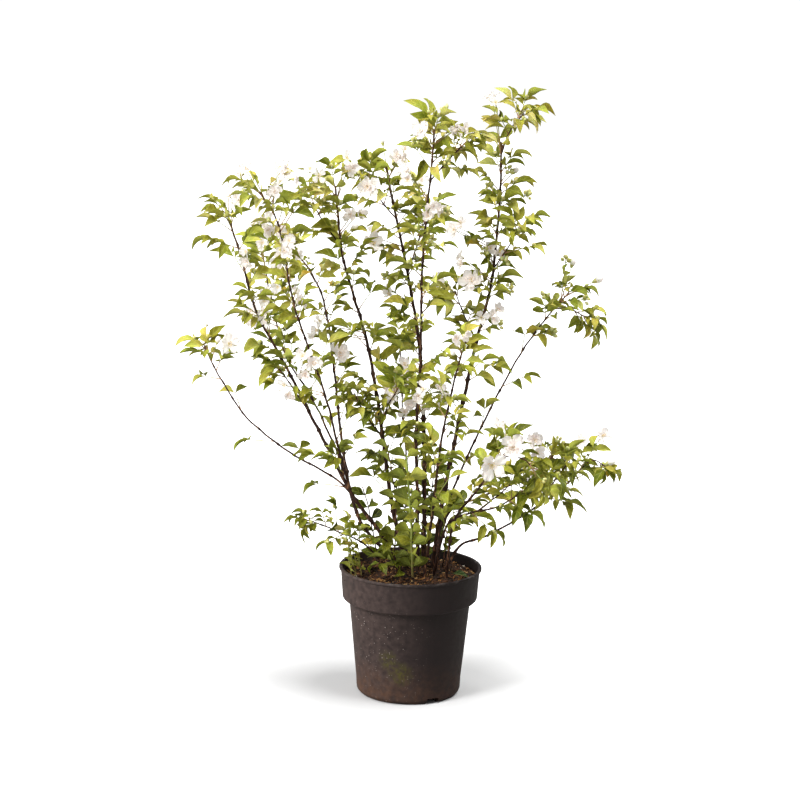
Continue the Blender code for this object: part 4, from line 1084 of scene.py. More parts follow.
def leafy_shoots(shrub, name, stem, start, leaf_length, draw):
    """Shoots up the cane, turned a quarter from one pair to the next, one of each pair here."""
    length = start + (0 if name in CANES else 30 * MM)
    turn = draw.uniform(0, math.pi)
    step = 0
    while length < stem.length - 14 * MM:
        point, along = stem.at(length)
        if "_" in name:
            shrub.leaves(name, f"{name}_stem", point, along, leaf_length, 2, draw)
            length += NODE_SPACING * 0.6
            continue
        side, normal = frame_on(along, UP)
        turn += math.pi / 2 + draw.uniform(-0.3, 0.3)
        hand = 1 if step // 2 % 2 else -1
        out = (side * math.cos(turn) + normal * math.sin(turn)) * hand
        lean = draw.uniform(0.75, 1.05)
        way = (along * math.cos(lean) + out * math.sin(lean) + UP * 0.15).normalized()
        reach = (44 - 14 * length / stem.length) * draw.uniform(0.8, 1.25) * MM
        grown = shrub.sprig(name, point, way, reach, leaf_length, draw)
        if grown:
            owner, end, along = grown
            if draw.random() < MIDDLE_LEAF_SHARE:
                shrub.leaves(name, owner, point.lerp(end, 0.55), along, leaf_length, 1, draw, PLAIN_BLADE)
            if draw.random() < BUD_SHARE:
                shrub.bud(name, owner, end, along, draw)
        length += NODE_SPACING * draw.uniform(0.85, 1.15)
        step += 1
    tip, along = stem.at(stem.length - 3 * MM)
    shrub.leaves(name, f"{name}_stem", tip, along, leaf_length, 2, draw)


space = Space()
for node in ("pot", "soil"):
    bm = bmesh.new()
    bm.from_mesh(frame["nodes"][node].data)
    space.add(bm, "ground")
shrub = Shrub(space)
for name, (foot_radius, tip_radius, _, _, route) in CANES.items():
    foot = Vector((*route[0], 0)) * MM
    crown = Vector((foot.x, foot.y, CROWN_TOP + 3 * MM))
    points = [crown] + [Vector(point) * MM for point in route[1:]]
    low = Vector((foot.x, foot.y, CROWN_TOP - SUNK))
    shrub.stems[name] = Stem(points, foot_radius * MM, tip_radius * MM, [low])
trunk = shrub.stems["a"]
for name, (foot_radius, tip_radius, height, _, route) in BRANCHES.items():
    points = [trunk.at(trunk.above(height * MM))[0]] + [Vector(point) * MM for point in route]
    shrub.stems[name] = Stem(points, foot_radius * MM, tip_radius * MM)
for name, stem in shrub.stems.items():
    space.add(stem_tube(stem), f"{name}_stem")
draw = random.Random(SEED)
for name, place, diameter, look in BLOOMS:
    shrub.flower(name, Vector(place) * MM, diameter * MM, facing(look), 5 if diameter > 26 else 4, draw)
for name, place, diameter in CLOSED:
    shrub.closed_flower(name, Vector(place) * MM, diameter * MM)
for name, stem in shrub.stems.items():
    first, leaf_length = (CANES.get(name) or BRANCHES[name])[2:4]
    leafy_shoots(shrub, name, stem, stem.above(first * MM), leaf_length * MM, draw)
cad_flowers = len(shrub.flowers)

# Where the solids leave out shoots for want of triangles, the living plant has more: two shoots to a
# joint, leaves on the flowering shoots, soft new shoots round the foot, weed seedlings at the rim, and
# flowers in bunches. Foliage thins out towards the bare lower canes.
JOINT_SPACING = 33 * MM
TUFT_REACH = {"c": 1.1, "e": 1.05, "f": 1.15, "g": 1.3, "h": 1.15, "i": 1.1, "m": 0.95, "m1": 0.35, "n": 0.55,
              "q": 0.45, "p": 0.5}
THINNED = {"a": 0.75, "b": 0.45, "c": 0.7, "d": 0.75, "f": 0.85, "g": 0.85, "h": 0.75, "i": 0.45, "j": 0.7,
           "m": 0.7, "o": 0.8, "p": 0.25}
SOFT_SHOOTS = {
    "soft_r": (1.2, 0.8, 222, 34, ((-14, -34), (-32, -54, 262), (-48, -68, 284), (-66, -80, 288))),
    "soft_t": (1.1, 0.8, 216, 34, ((-18, -32), (-30, -52, 240), (-45, -68, 247), (-58, -82, 238))),
    "soft_s": (1.2, 0.8, 236, 40, ((54, 34), (60, 26, 262), (72, 16, 296), (86, 8, 312))),
    "soft_w": (1.3, 0.9, 232, 36, ((-28, -10), (-26, -30, 330), (-34, -40, 392), (-44, -48, 440))),
    "soft_x": (1.4, 0.9, 216, 36, ((10, 62), (20, 84, 270), (34, 98, 330), (38, 112, 380))),
    "soft_y": (1.3, 0.9, 216, 32, ((-50, 44), (-66, 64, 262), (-74, 80, 300), (-84, 92, 330))),
    "soft_z": (1.3, 0.9, 216, 38, ((-8, 20), (-14, 14, 270), (-10, 4, 340), (-16, -4, 400))),
    "weed_a": (0.9, 0.6, 214, 25, ((-97, -30), (-103, -36, 250), (-100, -38, 290), (-108, -40, 318))),
    "weed_b": (0.9, 0.6, 212, 24, ((-82, -16), (-86, -18, 240), (-94, -20, 272), (-98, -18, 300))),
    "weed_c": (0.8, 0.6, 210, 20, ((-86, 26), (-98, 34, 232), (-112, 38, 250), (-122, 40, 262))),
}
# Twigs too thin for the solids: the cane each grows on, the height there, leaf length, route
TWIGS = {
    "h1": ("h", 915, 38, ((148, 15, 955), (170, 10, 985))),
    "g1": ("g", 880, 36, ((48, -80, 918), (76, -76, 948))),
    "h2": ("h", 600, 38, ((82, 8, 645), (64, 0, 690))),
    "h3": ("h", 720, 36, ((152, 10, 765), (168, 0, 800))),
    "e1": ("e", 440, 36, ((-78, -18, 478), (-98, -28, 520))),
    "f1": ("f", 700, 38, ((0, 60, 755), (16, 54, 806))),
    "m1": ("m", 375, 32, ((300, -12, 410), (326, -20, 396))),
    "i1": ("i", 640, 34, ((262, 118, 640), (290, 110, 625))),
    "j1": ("j", 450, 36, ((178, -170, 448), (200, -165, 425))),
    "f2": ("f", 790, 38, ((-66, 84, 832), (-88, 80, 868))),
    "e2": ("e", 760, 38, ((-150, -26, 800), (-172, -30, 838))),
    "a1": ("a", 480, 38, ((-196, -28, 520), (-222, -36, 560))),
    "m2": ("m", 330, 36, ((238, -8, 372), (262, -20, 410))),
    "l1": ("l", 330, 34, ((148, -90, 372), (170, -104, 398))),
    "e3": ("e", 455, 38, ((-42, -30, 500), (-24, -52, 540))),
}
# Round green flower buds still in their sepals: cane, place of the cluster's middle, buds in it
BUD_CLUSTERS = (
    ("g", (40, -114, 1001), 7), ("g", (-5, -110, 952), 5), ("g", (44, -105, 921), 6),
    ("g", (46, -92, 837), 6), ("g", (21, -85, 788), 10), ("g", (8, -67, 656), 5),
    ("h", (148, 6, 891), 6), ("h", (118, 6, 863), 5), ("h", (179, 6, 851), 5),
    ("h", (151, 6, 802), 5), ("h", (112, 6, 756), 5), ("h", (146, 6, 740), 5),
    ("h", (154, 6, 695), 6), ("h", (139, 6, 634), 5), ("f", (-27, 45, 705), 6),
    ("f", (-49, 59, 701), 5), ("d", (-114, 105, 502), 4), ("e", (-44, -15, 493), 5),
    ("k", (252, 186, 394), 5), ("i", (251, 106, 726), 5), ("i", (285, 106, 660), 5),
    ("i", (217, 96, 664), 4), ("i", (232, 85, 607), 5),
)
# Flowers beyond the solids' forty, told as those are
MORE_BLOOMS = (
    ("c", (-242, -150, 826), 24, (10, 20)), ("c", (-214, -100, 770), 23, (30, 5)),
    ("c", (-226, -100, 750), 22, (-20, 0)), ("g", (-16, -70, 883), 24, (-30, 10)),
    ("n", (16, -120, 549), 24, (-40, 0)), ("f", (1, 30, 497), 22, (10, 5)),
    ("f", (-13, 60, 473), 22, (-10, 0)), ("e", (-43, -10, 527), 22, (-20, 20)),
    ("g", (34, -40, 715), 22, (40, 10)), ("b", (-273, 50, 639), 22, (-20, 10)),
    ("c", (-212, -60, 538), 22, (-30, 10)), ("c", (-223, -90, 709), 22, (-10, -10)),
    ("c", (-160, -100, 891), 22, (30, 20)), ("e", (-94, -20, 818), 22, (20, 10)),
    ("f", (-72, 90, 756), 24, (0, 20)), ("h", (62, 20, 788), 22, (-40, 20)),
    ("h", (133, 20, 752), 22, (40, 10)), ("g", (17, -80, 827), 22, (0, 10)),
    ("f", (-23, 100, 908), 22, (20, 40)), ("e", (-161, 0, 619), 22, (-50, 10)),
)
more = random.Random(101)
shrub.arch = (0.6, 1.7)
space.wood_only = True


def bud_cluster(name, middle, count):
    """A shoot that ends in a round cluster of buds. It joins the flowering shoots, which are given leaves
    further on.
    """
    stem = shrub.stems[name]
    start, _ = stem.at(stem.nearest(middle) - 24 * MM)
    way = (middle - start).normalized()
    foot = middle - way * 6 * MM
    owner = shrub.new_owner(name)
    space.add(stalk(((start, SHOOT_RADIUS), (foot, SHOOT_TIP_RADIUS)), 3), owner)
    shrub.shoots.append((name, ((start, SHOOT_RADIUS), (foot, SHOOT_TIP_RADIUS))))
    shrub.flower_shoots.append((name, owner, start, foot))
    side, normal = frame_on(way, UP)
    for k in range(count):
        open_by = 1.9 * math.sqrt((k + 0.4) / count)
        around = 2.4 * k
        out = side * math.cos(around) + normal * math.sin(around)
        lean = (way * math.cos(open_by) + out * math.sin(open_by)).normalized()
        place = middle + lean * more.uniform(5.5, 6.5 + 0.3 * count) * MM
        shrub.buds.append((name, foot, place, more.uniform(3.3, 4.2) * MM))


for name, place, count in BUD_CLUSTERS:
    bud_cluster(name, Vector(place) * MM, count)
for name, place, diameter, look in MORE_BLOOMS:
    shrub.flower(name, Vector(place) * MM, diameter * MM, facing(look), more.choice((4, 4, 5)), more)
bunches = list(shrub.flowers)
for name, middle, look, diameter, *_ in bunches:
    for _ in range(more.choice((0, 1, 1, 2)) if diameter < 35 * MM else 0):
        side, normal = frame_on(look, UP)
        turn = more.uniform(0, 2 * math.pi)
        out = side * math.cos(turn) + normal * math.sin(turn)
        place = middle + out * diameter * more.uniform(0.55, 0.8) - look * more.uniform(0, 8) * MM
        shrub.flower(name, place, diameter * more.uniform(0.85, 1.1), (look + out * 0.7).normalized(),
                     more.choice((4, 4, 5)), more)
space.wood_only = False
for name, owner, start, knee in shrub.flower_shoots:
    way = (knee - start).normalized()
    for share in (0.35, 0.7):
        shrub.leaves(name, owner, start.lerp(knee, share), way, more.uniform(30, 40) * MM, 2, more)
for name, (foot_radius, tip_radius, _, _, route) in SOFT_SHOOTS.items():
    foot = Vector((*route[0], soil_height(route[0][0] * MM, route[0][1] * MM) / MM - 4)) * MM
    points = [foot] + [Vector(point) * MM for point in route[1:]]
    shrub.stems[name] = Stem(points, foot_radius * MM, tip_radius * MM)
    space.add(stem_tube(shrub.stems[name]), f"{name}_stem")
for name, (parent, height, _, route) in TWIGS.items():
    cane = shrub.stems[parent]
    points = [cane.at(cane.above(height * MM))[0]] + [Vector(point) * MM for point in route]
    shrub.stems[name] = Stem(points, 1.3 * MM, 0.9 * MM)
    space.add(stem_tube(shrub.stems[name]), f"{name}_stem")


def leafy_sprig(name, start, way, reach, size, shares):
    """A side shoot with leaf pairs at these shares of its way, a young pair and buds at its end."""
    grown = shrub.sprig(name, start, way, reach, size, more)
    if grown:
        owner, end, way = grown
        for share in shares:
            shrub.leaves(name, owner, start.lerp(end, share), way, size * 0.85, 2, more)
        shrub.leaves(name, owner, end - way * 1.5 * MM, way, size * 0.5, 2, more)
        space.wood_only = True
        for _ in range(more.choice((0, 0, 3, 4, 5))):
            shrub.bud(name, owner, end, way, more)
        space.wood_only = False


for name, stem in shrub.stems.items():
    grown_as = CANES.get(name) or BRANCHES.get(name) or SOFT_SHOOTS.get(name)
    first, leaf_length = grown_as[2:4] if grown_as else TWIGS[name][1:3]
    length = stem.above(first * MM)
    turn = more.uniform(0, math.pi)
    # The top of a cane ends in a tuft of shoots, the upper ones longer and steeper.
    for k in range(2, 0 if "_" in name else 8):
        tip, along = stem.at(stem.length - 3.4 * k * MM)
        side, normal = frame_on(along, UP)
        turn += 2.4
        out = side * math.cos(turn) + normal * math.sin(turn)
        way = (along * (2.2 - 0.15 * k) + out).normalized()
        reach = more.uniform(22, 54 - 3 * k) * TUFT_REACH.get(name, 0.85) * MM
        leafy_sprig(name, tip + out * 0.7 * MM, way, reach, leaf_length * more.uniform(0.85, 1.2) * MM,
                    (0.35, 0.7))
    while length < stem.length - 4 * MM:
        point, along = stem.at(length)
        if "_" in name:
            shrub.leaves(name, f"{name}_stem", point, along, leaf_length * MM, 2, more)
            length += JOINT_SPACING * more.uniform(0.45, 0.8)
            continue
        side, normal = frame_on(along, UP)
        turn += math.pi / 2 + more.uniform(-0.35, 0.35)
        crowded = min(max((point.z - 0.40) / 0.36, 0.34), 1.0) * THINNED.get(name, 1)
        for hand in (1, -1):
            if more.random() > crowded:
                continue
            out = (side * math.cos(turn) + normal * math.sin(turn)) * hand
            lean = more.uniform(0.65, 1.05)
            way = (along * math.cos(lean) + out * math.sin(lean) + UP * 0.1).normalized()
            reach = (46 - 14 * length / stem.length) * more.uniform(0.5, 1.3) * MM
            root = stem.at(length + hand * 1.7 * MM)[0] + out * 0.5 * stem.radius(length)
            leafy_sprig(name, root, way, reach, leaf_length * more.uniform(0.8, 1.2) * MM,
                        (0.3, 0.62) if reach > 42 * MM else (0.5,))
        length += JOINT_SPACING * more.uniform(0.85, 1.15)


# Sweeps a round section along every line of the carrier, as thick as its points say.
sweep, given, end = new_tree("swept_stems", (
    ("Sides", "NodeSocketInt", 8), ("Material", "NodeSocketMaterial", None)))
lines = add(sweep, "GeometryNodeMeshToCurve", {"Mesh": given["Geometry"]})
thick = add(sweep, "GeometryNodeInputNamedAttribute", {"Name": "thick"}, data_type="FLOAT").outputs[0]
section = add(sweep, "GeometryNodeCurvePrimitiveCircle", {"Resolution": given["Sides"], "Radius": 1.0})
tube = add(sweep, "GeometryNodeCurveToMesh", {"Curve": lines.outputs[0], "Profile Curve": section.outputs[0],
                                              "Scale": thick, "Fill Caps": True})
smooth = add(sweep, "GeometryNodeSetShadeSmooth", {"Geometry": tube.outputs[0]})
real = add(sweep, "GeometryNodeRealizeInstances", {"Geometry": smooth.outputs[0]})
dressed = add(sweep, "GeometryNodeSetMaterial", {"Geometry": real.outputs[0], "Material": given["Material"]})
sweep.links.new(dressed.outputs[0], end.inputs[0])


def swept(name, lines, sides, material):
    """A round stem along each line of (point, radius, share of the way along it)."""
    mesh = bpy.data.meshes.new(name)
    points = [spot for line in lines for spot in line]
    edges, first = [], 0
    for line in lines:
        edges += [(first + i, first + i + 1) for i in range(len(line) - 1)]
        first += len(line)
    mesh.from_pydata([point for point, _, _ in points], edges, [])
    for label, column in (("thick", 1), ("along", 2)):
        values = mesh.attributes.new(label, "FLOAT", "POINT")
        values.data.foreach_set("value", [spot[column] for spot in points])
    carrier = bpy.data.objects.new(name, mesh)
    bpy.context.scene.collection.objects.link(carrier)
    return made_by(sweep, name, carrier, {"Sides": sides, "Material": material})


# Thin bark, purple-brown and faintly glossy, ribbed along the cane, greyer and split at the foot and
# dusted pale where the outer skin peels.
bark, tree, shader, where = new_material("mock_orange_bark", 0.62)
shader.inputs["Specular IOR Level"].default_value = 0.3
age = add(tree, "ShaderNodeAttribute", attribute_name="along").outputs["Fac"]
ribs = grain(tree, where, 1.3, 4, (1, 1, 12))
color = mixed(tree, ranged(tree, ribs, 0.35, 0.65), "#1b0f0c", "#43291f")
peeling = product(tree, ranged(tree, grain(tree, where, 4, 5, (1, 1, 4)), 0.55, 0.66),
                  ranged(tree, age, 1, 0, 0.3, 0.9))
color = mixed(tree, peeling, color, "#8c6346")
color = mixed(tree, ranged(tree, age, 0.85, 1.0, 0.0, 0.6), color, "#7a5a3a")
tree.links.new(color, shader.inputs["Base Color"])
bumped(tree, shader, ribs, 0.5)
# Soft new growth: tan to pinkish where it leaves the wood, light green further on.
young, tree, shader, where = new_material("green_shoot_skin", 0.5)
age = add(tree, "ShaderNodeAttribute", attribute_name="along").outputs["Fac"]
blotch = ranged(tree, grain(tree, where, 6, 3), 0.3, 0.7, -0.15, 0.15)
reach = add(tree, "ShaderNodeMath", {0: age, 1: blotch}, operation="ADD").outputs[0]
color = mixed(tree, ranged(tree, reach, 0.1, 0.75), "#a9805c", "#8fa04a")
tree.links.new(color, shader.inputs["Base Color"])
bumped(tree, shader, grain(tree, where, 0.8, 3, (1, 1, 6)), 0.15)

KNOB_SPACING = 36 * MM
WOOD_SIDES, SHOOT_SIDES = 12, 6
knobs = random.Random(9)
for name, stem in shrub.stems.items():
    walked = lengths_along(stem.route)
    full = walked[-1]
    joints = []
    while not joints or joints[-1] < full:
        joints.append((joints[-1] if joints else 0) + KNOB_SPACING * knobs.uniform(0.8, 1.2))
    line = [(point, stem.foot_radius, 0.0) for point in stem.buried]
    for point, length in zip(stem.route, walked):
        near = min(abs(length - joint) for joint in joints)
        swell = 1 + 0.62 * math.exp(-((near / (2.4 * MM)) ** 2)) * (0.3 if "_" in name else 1)
        stray = Vector([noise.noise(point * 45 + Vector((axis * 9, 0, 0))) for axis in range(3)])
        share = length / full
        line.append((point + stray * 1.3 * MM, stem.radius(length) * swell,
                     0.45 + 0.55 * share if "_" in name else share))
    node = name if "_" in name else f"cane_{'a' if name in BRANCHES else name}"
    green = name.split("_")[0] in ("basal", "rim", "weed")
    wood = swept(f"{name}_wood", [line], WOOD_SIDES, young if green else bark)
    if node in frame["nodes"]:
        seated(wood, "foliage", node)
    else:
        seated(wood, "foliage")


# Side shoots
# Each leafy or flowering shoot is this year's growth: a round, slightly arched stem about 1.6 mm thick,
# swollen where it springs from the wood, and bare up to its first leaves.

by_cane = {name: [line for owner, line in shrub.shoots if owner == name] for name in shrub.stems}
for name, found in by_cane.items():
    lines = []
    for line in found:
        route = smooth_route([point for point, _ in line], 5 * MM)
        walked = lengths_along(route)
        sag = more.uniform(-0.03, 0.03) * walked[-1]
        stations = []
        for point, length in zip(route, walked):
            share = length / walked[-1]
            radius = (1.0 - 0.3 * share + 0.5 * math.exp(-((length / (4 * MM)) ** 2))) * SHOOT_RADIUS
            stations.append((point + UP * (sag * math.sin(math.pi * share)), radius, share))
        lines.append(stations)
    if lines:
        seated(swept(f"{name}_shoots", lines, SHOOT_SIDES, young), "foliage")


# Leaves
# Mock orange leaves stand in pairs on short stalks: ovate, up to 57 mm, far shorter at a shoot's end, drawn
# out to a hooked tip, with a few small teeth and sunken veins, folded along the midrib and arched down.

LEAF_ROWS, LEAF_COLUMNS = 9, 4
LEAF_THICKNESS = 0.35 * MM
TYPICAL_LEAF = 35 * MM
LEAF_STALK = 0.08
LEAF_TOOTH = 0.04
DROOPS = (0.5, 0.75, 1.0, 1.25, 1.5, 1.75)
LEAF_BREADTH = {"basal": 1.2, "weed": 1.05, "rim": 1.1, "soft": 1.1}


def thin_skin(name, rows):
    """A thin closed skin between rows of (point above, point below), both sides split alike."""
    bm = bmesh.new()
    layer = bm.loops.layers.uv.new("leaf")
    last_row, last = len(rows) - 1, len(rows[0]) - 1
    top, under, margin = [], [], set()
    for k, row in enumerate(rows):
        edge = [k in (0, last_row) or j in (0, last) for j in range(last + 1)]
        top.append([bm.verts.new((a + b) / 2 if on_edge else a) for (a, b), on_edge in zip(row, edge)])
        under.append([vertex if on_edge else bm.verts.new(b)
                      for vertex, (_, b), on_edge in zip(top[k], row, edge)])
        margin.update(vertex for vertex, on_edge in zip(top[k], edge) if on_edge)
    for k in range(last_row):
        for j in range(last):
            a, b, c, d = (k, j), (k + 1, j), (k + 1, j + 1), (k, j + 1)
            # No triangle lies wholly on the margin, because both sides share it.
            towards_tip = (j < last / 2) != (k == last_row - 1)
            for spots in ((a, b, c), (a, c, d)) if towards_tip else ((a, b, d), (b, c, d)):
                for skin, order, shift in ((top, spots, 0.0), (under, spots[::-1], 2.0)):
                    face = bm.faces.new([skin[r][q] for r, q in order])
                    face.smooth = True
                    for loop, (r, q) in zip(face.loops, order):
                        loop[layer].uv = (q / last + shift, r / last_row)
    for side in bm.edges:
        side.smooth = not all(vertex in margin for vertex in side.verts)
    bmesh.ops.recalc_face_normals(bm, faces=bm.faces)
    mesh = bpy.data.meshes.new(name)
    bm.to_mesh(mesh)
    bm.free()
    return mesh


def leaf_mesh(droop, draw, tip=1.15):
    """A leaf of length 1 along X and width 1, arched down by droop radians, as a thin closed skin."""
    thin = LEAF_THICKNESS / TYPICAL_LEAF
    twist = draw.uniform(-0.25, 0.25)
    waves = [draw.uniform(0, 2 * math.pi) for _ in range(2)]
    point, rows, steps = Vector((0, 0, 0)), [], 48
    samples = []
    for i in range(steps + 1):
        bend = droop * (max(i - 0.5, 0) / steps) ** 1.2
        if i:
            point = point + Vector((math.cos(bend), 0, -math.sin(bend))) / steps
        samples.append((Vector(point), bend))
    for k in range(LEAF_ROWS + 1):
        t = k / LEAF_ROWS
        middle, bend = samples[round(t * steps)]
        out = Vector((math.sin(bend), 0, math.cos(bend)))
        u = max(0.0, (t - LEAF_STALK) / (1 - LEAF_STALK))
        half = 0.5 * math.sin(math.pi * u ** 0.72) ** tip if 0 < u < 1 else 0
        half = max(half, 0.028 * (1 - 0.6 * t))
        tooth = (LEAF_TOOTH if k % 2 else -LEAF_TOOTH) if 0.2 < t < 0.9 else 0
        row = []
        for j in range(LEAF_COLUMNS + 1):
            across = 2 * j / LEAF_COLUMNS - 1
            edge = abs(across) == 1 or k in (0, LEAF_ROWS)
            reach = half * (1 + tooth * (abs(across) == 1))
            lift = BLADE_FOLD * 0.75 * abs(across) ** 1.2 * half
            lift += 0.07 * half * across * abs(across) * math.sin(9 * t + waves[across > 0])
            quilt = 0.012 * half * math.cos(2 * math.pi * (t * 7 - 1.6 * abs(across))) * (0 < abs(across) < 1)
            side = Vector((0, across * reach * math.cos(twist * t), across * reach * math.sin(twist * t)))
            forward = Vector((math.cos(bend), 0, -math.sin(bend))) * (0.05 * abs(across) * half)
            spot = middle + side + out * (lift + quilt) + forward
            depth = out * thin * (0.12 if edge else 0.5)
            row.append((spot + depth, spot - depth))
        rows.append(row)
    return thin_skin("leaf", rows)


# Copies the numbered masters onto the carrier's points, each turned, sized and toned as its point says.
copied, given, end = new_tree("placed_copies", (
    ("Masters", "NodeSocketCollection", None), ("Material", "NodeSocketMaterial", None)))


def stored(tree, name, kind):
    return add(tree, "GeometryNodeInputNamedAttribute", {"Name": name}, data_type=kind).outputs[0]


shapes = add(copied, "GeometryNodeCollectionInfo",
             {"Collection": given["Masters"], "Separate Children": True, "Reset Children": True})
copies = add(copied, "GeometryNodeInstanceOnPoints",
             {"Points": given["Geometry"], "Instance": shapes.outputs[0], "Pick Instance": True,
              "Instance Index": stored(copied, "kind", "INT"),
              "Rotation": stored(copied, "turn", "QUATERNION"),
              "Scale": stored(copied, "size", "FLOAT_VECTOR")})
real = add(copied, "GeometryNodeRealizeInstances", {"Geometry": copies.outputs[0]})
dressed = add(copied, "GeometryNodeSetMaterial", {"Geometry": real.outputs[0], "Material": given["Material"]})
copied.links.new(dressed.outputs[0], end.inputs[0])


def placed(name, shapes, material, copies):
    """Copies of the masters, each (place, turn, size, kind, tone), as one plain mesh."""
    mesh = bpy.data.meshes.new(name)
    mesh.from_pydata([each[0] for each in copies], [], [])
    columns = (("turn", "QUATERNION", "value", 1), ("size", "FLOAT_VECTOR", "vector", 2),
               ("kind", "INT", "value", 3), ("tone", "FLOAT", "value", 4))
    for label, kind, field, column in columns:
        values = [each[column] for each in copies]
        if column < 3:
            values = [number for value in values for number in value]
        mesh.attributes.new(label, kind, "POINT").data.foreach_set(field, values)
    carrier = bpy.data.objects.new(name, mesh)
    bpy.context.scene.collection.objects.link(carrier)
    return made_by(copied, name, carrier, {"Masters": shapes, "Material": material})


def turn_to(forward, up):
    """The turn that takes X to forward, and Z as near to up as it can be."""
    side = up.cross(forward).normalized()
    return Matrix((forward, side, forward.cross(side))).transposed().to_quaternion()


LEAF_COLORS = ((0.0, "#343b09"), (0.25, "#696e18"), (0.5, "#a3a238"), (0.74, "#cdc663"), (0.93, "#e8da98"),
               (1.0, "#dfbf4c"))


def leaf_skin(name, colors, gloss):
    """Leaf green by each leaf's tone, with pale veins, fine cells, and a matt lighter underside."""
    material, tree, shader, where = new_material(name, gloss)
    uv = add(tree, "ShaderNodeUVMap", uv_map="leaf").outputs["UV"]
    split = add(tree, "ShaderNodeSeparateXYZ", {"Vector": uv})
    under = ranged(tree, split.outputs["X"], 1.4, 1.6)
    wrapped = add(tree, "ShaderNodeMath", {0: split.outputs["X"], 1: 2.0}, operation="MODULO").outputs[0]
    from_rib = add(tree, "ShaderNodeMath", {0: wrapped, 1: 0.5, 2: 0.0}, operation="SUBTRACT").outputs[0]
    from_rib = add(tree, "ShaderNodeMath", {0: from_rib}, operation="ABSOLUTE").outputs[0]
    slant = add(tree, "ShaderNodeMath", {0: from_rib, 1: -0.55, 2: split.outputs["Y"]},
                operation="MULTIPLY_ADD")
    stripe = add(tree, "ShaderNodeMath", {0: slant.outputs[0], 1: 1 / 7}, operation="PINGPONG").outputs[0]
    side_vein = ranged(tree, stripe, 0.024, 0.006, 0.0, 0.7)
    vein = add(tree, "ShaderNodeMath", {0: side_vein, 1: ranged(tree, from_rib, 0.045, 0.015)},
               operation="MAXIMUM").outputs[0]
    tone = add(tree, "ShaderNodeAttribute", attribute_name="tone").outputs["Fac"]
    patch = ranged(tree, grain(tree, where, 14, 4), 0.3, 0.7, -0.06, 0.06)
    tone = add(tree, "ShaderNodeMath", {0: tone, 1: patch}, operation="ADD").outputs[0]
    ramp = add(tree, "ShaderNodeValToRGB", {"Fac": tone})
    for place, code in colors[1:-1]:
        ramp.color_ramp.elements.new(place)
    for element, (place, code) in zip(ramp.color_ramp.elements, colors):
        element.position = place
        element.color = linear(code)
    warmth = ranged(tree, grain(tree, where, 45, 3), 0.35, 0.65)
    color = mixed(tree, 0.5, ramp.outputs["Color"], mixed(tree, warmth, "#dcffd4", "#ffe6cc"), "MULTIPLY")
    between = ranged(tree, stripe, 0.02, 0.065)
    color = mixed(tree, product(tree, between, 0.3), color, mixed(tree, 0.6, color, "#2c3a08"))
    color = mixed(tree, product(tree, vein, 0.45), color, "#b9bd5c")
    color = mixed(tree, product(tree, under, 0.35), color, "#a0aa52")
    tree.links.new(color, shader.inputs["Base Color"])
    tree.links.new(ranged(tree, under, 0, 1, gloss, 0.75), shader.inputs["Roughness"])
    relief = mixed(tree, 0.25, ranged(tree, vein, 0, 1, 1, 0), grain(tree, where, 0.7, 3))
    bumped(tree, shader, relief, 0.6)
    return material, shader


leaf_green, shader = leaf_skin("mock_orange_leaf", LEAF_COLORS, 0.42)
shader.inputs["Specular IOR Level"].default_value = 0.2
shader.inputs["Subsurface Weight"].default_value = 0.2
shader.inputs["Subsurface Radius"].default_value = (1.0, 1.1, 0.15)
shader.inputs["Subsurface Scale"].default_value = 1.2 * MM

shade = random.Random(23)
leaf_shapes = masters("leaf_masters", [leaf_mesh(droop, shade) for droop in DROOPS for _ in range(2)])
for name in shrub.stems:
    copies = []
    for owner, root, direction, normal, length, width, droop in shrub.blades:
        if owner != name:
            continue
        kind = 2 * min(range(len(DROOPS)), key=lambda i: abs(DROOPS[i] - droop)) + shade.randrange(2)
        # Lower leaves get a darker tone, and those on the soft shoots round the foot darker still: painted
        # shade deep inside the bush.
        height_share = (root.z - 0.25) / 0.7
        tone = 0.36 + 0.30 * height_share + shade.uniform(-0.30, 0.28)
        tone += {"soft": -0.2, "weed": 0.3, "basal": 0.0, "rim": 0.3}.get(name.split("_")[0], 0)
        broad = width * LEAF_BREADTH.get(name.split("_")[0], 0.88)
        long = length * 1.03
        tone = 1.0 if shade.random() < 0.012 else min(max(tone, 0), 0.96)
        copies.append((root, turn_to(direction, normal), (long, broad, long), kind, tone))
    if copies:
        seated(placed(f"{name}_leaves", leaf_shapes, leaf_green, copies), "foliage")


# Buds and closed flowers
# Flower buds are round green beads of four clasped sepals on thin stalks; those about to open are white
# balls of four petals wrapped round each other, sitting in their green calyx.

BUD_BANDS, BUD_SEGMENTS = 6, 9


def bead(draw, point, folds, depth):
    """A ball of radius 1 with its axis on X, drawn out to a point, with folds running along it."""
    bm = bmesh.new()
    bmesh.ops.create_uvsphere(bm, u_segments=BUD_SEGMENTS, v_segments=BUD_BANDS, radius=1)
    bmesh.ops.rotate(bm, verts=bm.verts, cent=(0, 0, 0), matrix=Matrix.Rotation(math.pi / 2, 3, "Y"))
    phase = draw.uniform(0, 6)
    for vertex in bm.verts:
        x, y, z = vertex.co
        angle = math.atan2(z, y)
        swell = 1 - depth * abs(math.sin(0.5 * folds * (angle + 0.6 * x) + phase)) * math.hypot(y, z)
        vertex.co = Vector((x + point * max(x, 0) ** 3, y * swell, z * swell))
    for face in bm.faces:
        face.smooth = True
    mesh = bpy.data.meshes.new("bead")
    bm.to_mesh(mesh)
    bm.free()
    return mesh


